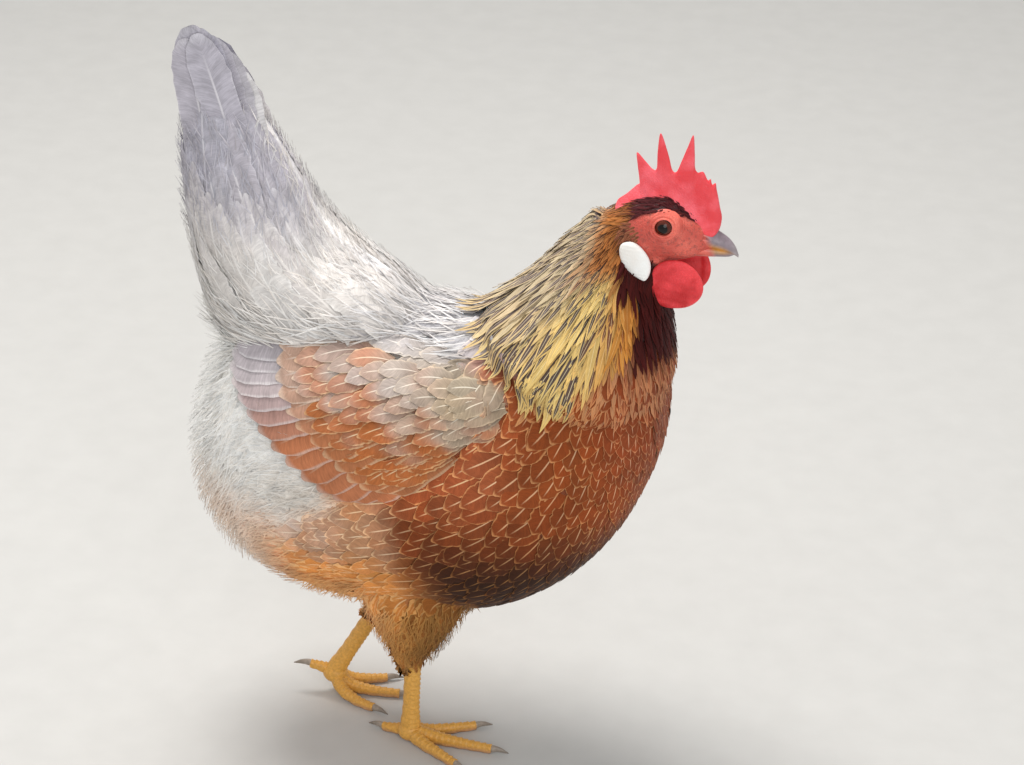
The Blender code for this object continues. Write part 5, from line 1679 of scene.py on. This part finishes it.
class HEN_OT_eyes(bpy.types.Operator):
    """Eyes with a raised cornea over a red-brown iris, each in its two lids"""
    bl_idname = "hen.eyes"
    bl_label = "Eyes and lids"

    def execute(self, context):
        off = np.concatenate([np.linspace(0.01, 0.95, 60), np.linspace(1.0, 3.13, 30)])[:, None]
        angle = around(96)
        radius = EYE_RADIUS + 0.45 * np.clip(1 - (off / 0.8) ** 2, 0, 1) ** 2
        iris = colour("iris")
        rays = 0.82 + 0.12 * np.sin(23 * angle) + 0.08 * np.sin(41 * angle + 1.3)
        tone = iris * (rays * (0.75 + 0.5 * smooth(0.35, 0.75, off)))[..., None]
        tone = tone * (1 - smooth(0.70, 0.84, off) * 0.85 + 0 * angle)[..., None]
        tone = tone * (smooth(0.40, 0.44, off) + 0 * angle)[..., None] + 0.003
        turn = around(96).T
        out, rise = spline(LIDS + LIDS[:1], np.linspace(0, len(LIDS), 52, endpoint=False)).T[:, None]
        dx, dz = out * np.cos(turn) * 1.03, out * np.sin(turn) * 0.95
        cheek = 16.2 - 0.17 * dx - 0.2 * dz - out ** 2 / 60 + rise + 0.12 * np.sin(turn * 3 + 1) * (out > 6)
        for side, label in zip(SIDES, SIDE_NAMES):
            x = EYE[0] + radius * np.sin(off) * np.cos(angle)
            z = EYE[2] + radius * np.sin(off) * np.sin(angle)
            y = EYE[1] + radius * np.cos(off) + 0 * angle
            points, faces = shell(np.stack([x, side * y, z], -1))
            tones = np.vstack([tone.reshape(-1, 3), tone[0].mean(0), tone[-1].mean(0)])
            item = build(f"eyeball_{label}", points, faces, attributes={"tone": tones})
            wet = toned_material("wet eye", 0.08, 2.0, 0.0, 0.0, coat_weight=0.12, specular=0.25)
            finish(item, wet, "eye", f"eye_{label}")
            rounds = [grid_faces(97, 52) % (96 * 52)]
            points = np.stack([EYE[0] + dx, side * cheek, EYE[2] + dz], -1).reshape(-1, 3)
            lid = build(f"eyelids_{label}", points, rounds if side > 0 else [f[:, ::-1] for f in rounds])
            finish(lid, flesh_material("eyelid skin", "face", 0.7, 0.2, 0.4, 1.35), "face_skin")
        return {"FINISHED"}


def scaled_limb(path, radii, plates, step, front, reach, rows=120, sides=36):
    """A limb with raised overlapping plates.

    The radius round the path grows by the step times the share along each plate, on the sides whose cosine to
    the front is over the reach, in two columns half a plate apart.
    """
    t = np.linspace(0, 1, rows)
    line = even(path, rows)
    ahead = unit(np.gradient(line, axis=0))
    face = unit(np.asarray(front, float) - ahead * (ahead @ np.asarray(front, float))[:, None])
    side = np.cross(ahead, face)
    angle = around(sides)
    column = np.where(np.sin(angle) > 0, 0.5, 0.0) * (reach < 0.25)
    along = (t[:, None] * plates + column) % 1.0
    plated = smooth(reach - 0.12, reach + 0.12, np.cos(angle))
    lift = step * (along ** 1.4 - 0.6 * smooth(0.93, 1.0, along)) * plated
    if reach < 0.25:
        lift = lift * (1 - 0.7 * np.exp(-(np.sin(angle) / 0.1) ** 2))
    radius = even(np.array(radii)[:, None], rows)
    pad = 0.35 * np.cos(t[:, None] * plates * math.pi / 2.2) ** 2 * (np.cos(angle) < -0.2)
    wide = radius + lift + pad
    forward = face[:, None] * (wide * np.cos(angle))[..., None]
    return line[:, None] + forward + side[:, None] * (wide * 0.9 * np.sin(angle))[..., None]


def leg_tones(points):
    """Yellow of the scales, greyer and pinker under the toes."""
    yellow, shade = colour("leg"), colour("leg_shade")
    low = smooth(4.0, 1.0, points[:, 2])
    return mix(np.broadcast_to(yellow, points.shape), shade, 0.7 * low)


class HEN_OT_legs(bpy.types.Operator):
    """Scaled yellow shanks and feet with pads"""
    bl_idname = "hen.legs"
    bl_label = "Shanks and feet"

    def execute(self, context):
        scaly = toned_material("horny leg scales", 0.42, 1.6, 0.25, 0.5, specular=0.45)
        for label in SIDE_NAMES:
            top, bottom = (np.array(p) for p in SHANKS[label])
            shank = [top + (bottom - top) * k for k in (0, 0.25, 0.5, 0.75, 1.0)]
            points, faces = shell(scaled_limb(shank, SHANK_RADII, 17, 0.75, (1.0, 0.0, 0.2), 0.1, 200, 48))
            item = build(f"shank_scales_{label}", points, faces, attributes={"tone": leg_tones(points)})
            finish(item, scaly, "leg_skin", f"shank_{label}")
            toes = []
            for path, start, end, plates in TOES[label].values():
                toes.append(shell(scaled_limb(path, (start, (start + end) / 2, end, end * 0.85), plates, 0.7,
                                              (0.0, 0.0, 1.0), 0.3)))
            first = np.array(TOES[label]["middle"][0][0])
            polar, turn = np.linspace(0.05, 3.09, 24)[:, None], around(40)
            pad = first + np.stack([PAD_SIZE[0] * np.sin(polar) * np.cos(turn),
                                    PAD_SIZE[1] * np.sin(polar) * np.sin(turn),
                                    PAD_SIZE[2] * np.cos(polar) + 0 * turn], -1)
            points, faces = joined(toes + [shell(pad)])
            points[:, 2] = np.maximum(points[:, 2], 0.0)
            item = build(f"foot_scales_{label}", points, faces, attributes={"tone": leg_tones(points)})
            finish(item, scaly, "leg_skin", f"foot_{label}")
        return {"FINISHED"}


class HEN_OT_claws(bpy.types.Operator):
    """Curved horny claws, one on each toe"""
    bl_idname = "hen.claws"
    bl_label = "Claws"

    def execute(self, context):
        horn = toned_material("claw horn", 0.35, 2.0, 0.1, 0.3, specular=0.5)
        for label in SIDE_NAMES:
            for toe, (path, *_) in TOES[label].items():
                path = np.array(path)
                tip, along = path[-1], path[-1] - path[-2]
                flat = unit(np.array([along[0], along[1], 0.0]))
                rise = max(along[2], 0.0) * 0.3
                t = np.linspace(-0.22, 1.0, 30)
                radius = CLAW_RADIUS * np.interp(t, (-0.22, 0.1, 0.6, 1.0), (0.9, 1.0, 0.62, 0.12))
                drop = np.interp(t, (-0.22, 0.1, 0.35, 0.6, 1.0), (0.2, 0.7, 0.8, 0.4, -1.0))
                level = np.maximum(tip[2] + drop + rise * t, radius + 0.05)
                middle = tip[None] * np.array((1, 1, 0)) + flat * (CLAW_LENGTH * t)[:, None]
                middle[:, 2] = level
                angle = around(24)[..., None]
                side = np.cross((0, 0, 1), flat)
                rings = middle[:, None] + radius[:, None, None] * (
                    np.cos(angle) * np.array((0, 0, 1.0)) + np.sin(angle) * side * 0.8)
                points, faces = shell(rings)
                far = np.clip((points - tip) @ flat / CLAW_LENGTH, 0, 1)
                tone = mix(np.broadcast_to(colour("claw"), points.shape), colour("claw") * 0.55, far)
                item = build(f"claw_horn_{label}_{toe}", points, faces, attributes={"tone": tone})
                finish(item, horn, "claw_horn", f"claw_{label}_{toe}")
        return {"FINISHED"}


class HEN_OT_stage(bpy.types.Operator):
    """Pale floor, soft studio light and the camera at the photograph's angle"""
    bl_idname = "hen.stage"
    bl_label = "Stage"

    def execute(self, context):
        half, low = FLOOR_SIZE / 2, FLOOR_LEVEL
        corners = np.array(((-half, -half, low), (half, -half, low), (half, half, low), (-half, half, low)))
        floor = build("floor", corners, [np.array([[0, 1, 2, 3]])])
        material, tree, shader = new_material("painted plaster floor", roughness=0.8)
        spot = (add_node(tree, PLACE), "Object")
        noise = add_node(tree, NOISE, None, {"Vector": spot, "Scale": 40.0, "Detail": 4.0})
        tone = add_node(tree, MIX, TINT, {0: noise, 6: FLOOR_TONES[0], 7: FLOOR_TONES[1]})
        tree.links.new(tone.outputs[2], shader.inputs["Base Color"])
        floor.data.materials.append(material)

        world = bpy.data.worlds.new("studio")
        world.use_nodes = True
        sky = world.node_tree.nodes["Background"]
        sky.inputs["Color"].default_value = SKY_TONE
        sky.inputs["Strength"].default_value = SKY_STRENGTH
        context.scene.world = world
        for label, place, size, power, tint in LAMPS:
            lamp = bpy.data.lights.new(label, "AREA")
            lamp.shape, lamp.size, lamp.energy, lamp.color = "DISK", size, power, tint
            item = bpy.data.objects.new(label, lamp)
            item.location = place
            way = np.array(LAMPS_AIM) - np.array(place)
            item.rotation_euler = (math.acos(-way[2] / np.linalg.norm(way)), 0, math.atan2(-way[0], way[1]))
            context.scene.collection.objects.link(item)

        azimuth, elevation = math.radians(CAMERA["azimuth"]), math.radians(CAMERA["elevation"])
        right = np.array((math.cos(azimuth), math.sin(azimuth), 0.0))
        back = np.array((math.sin(azimuth) * math.cos(elevation), -math.cos(azimuth) * math.cos(elevation),
                         math.sin(elevation)))
        up = np.cross(back, right)
        target = np.array(CAMERA["centre"]) + right * CAMERA["right"] + up * CAMERA["up"]
        camera = bpy.data.objects.new("camera", bpy.data.cameras.new("camera"))
        camera.data.lens, camera.data.sensor_width = CAMERA["lens"], 36.0
        camera.location = target + back * CAMERA["distance"]
        camera.rotation_euler = (math.pi / 2 - elevation, 0.0, azimuth)
        context.scene.collection.objects.link(camera)
        context.scene.camera = camera
        context.scene.view_settings.view_transform = "Standard"
        return {"FINISHED"}


PIECES = (HEN_OT_skin, HEN_OT_breast, HEN_OT_back, HEN_OT_cape, HEN_OT_neck, HEN_OT_crown, HEN_OT_fluff,
          HEN_OT_down, HEN_OT_rump, HEN_OT_saddle, HEN_OT_coverts, HEN_OT_wings, HEN_OT_tail, HEN_OT_thighs,
          HEN_OT_comb, HEN_OT_wattles, HEN_OT_lobes, HEN_OT_bill, HEN_OT_eyes, HEN_OT_legs, HEN_OT_claws,
          HEN_OT_stage)


class HEN_PT_panel(bpy.types.Panel):
    """Lists the hen's pieces in the order in which they are made"""
    bl_label = "Hen"
    bl_idname = "HEN_PT_panel"
    bl_space_type = "VIEW_3D"
    bl_region_type = "UI"
    bl_category = "Hen"

    def draw(self, context):
        for piece in PIECES:
            self.layout.operator(piece.bl_idname)


CLASSES = (HenSizes, HenColours, *PIECES, HEN_PT_panel)


def register():
    for kind in CLASSES:
        bpy.utils.register_class(kind)
    bpy.types.Scene.hen_sizes = bpy.props.PointerProperty(type=HenSizes)
    bpy.types.Scene.hen_colours = bpy.props.PointerProperty(type=HenColours)


def unregister():
    del bpy.types.Scene.hen_sizes
    del bpy.types.Scene.hen_colours
    for kind in reversed(CLASSES):
        bpy.utils.unregister_class(kind)


def main():
    register()
    for piece in PIECES:
        group, name = piece.bl_idname.split(".")
        getattr(getattr(bpy.ops, group), name)()


if __name__ == "__main__":
    main()
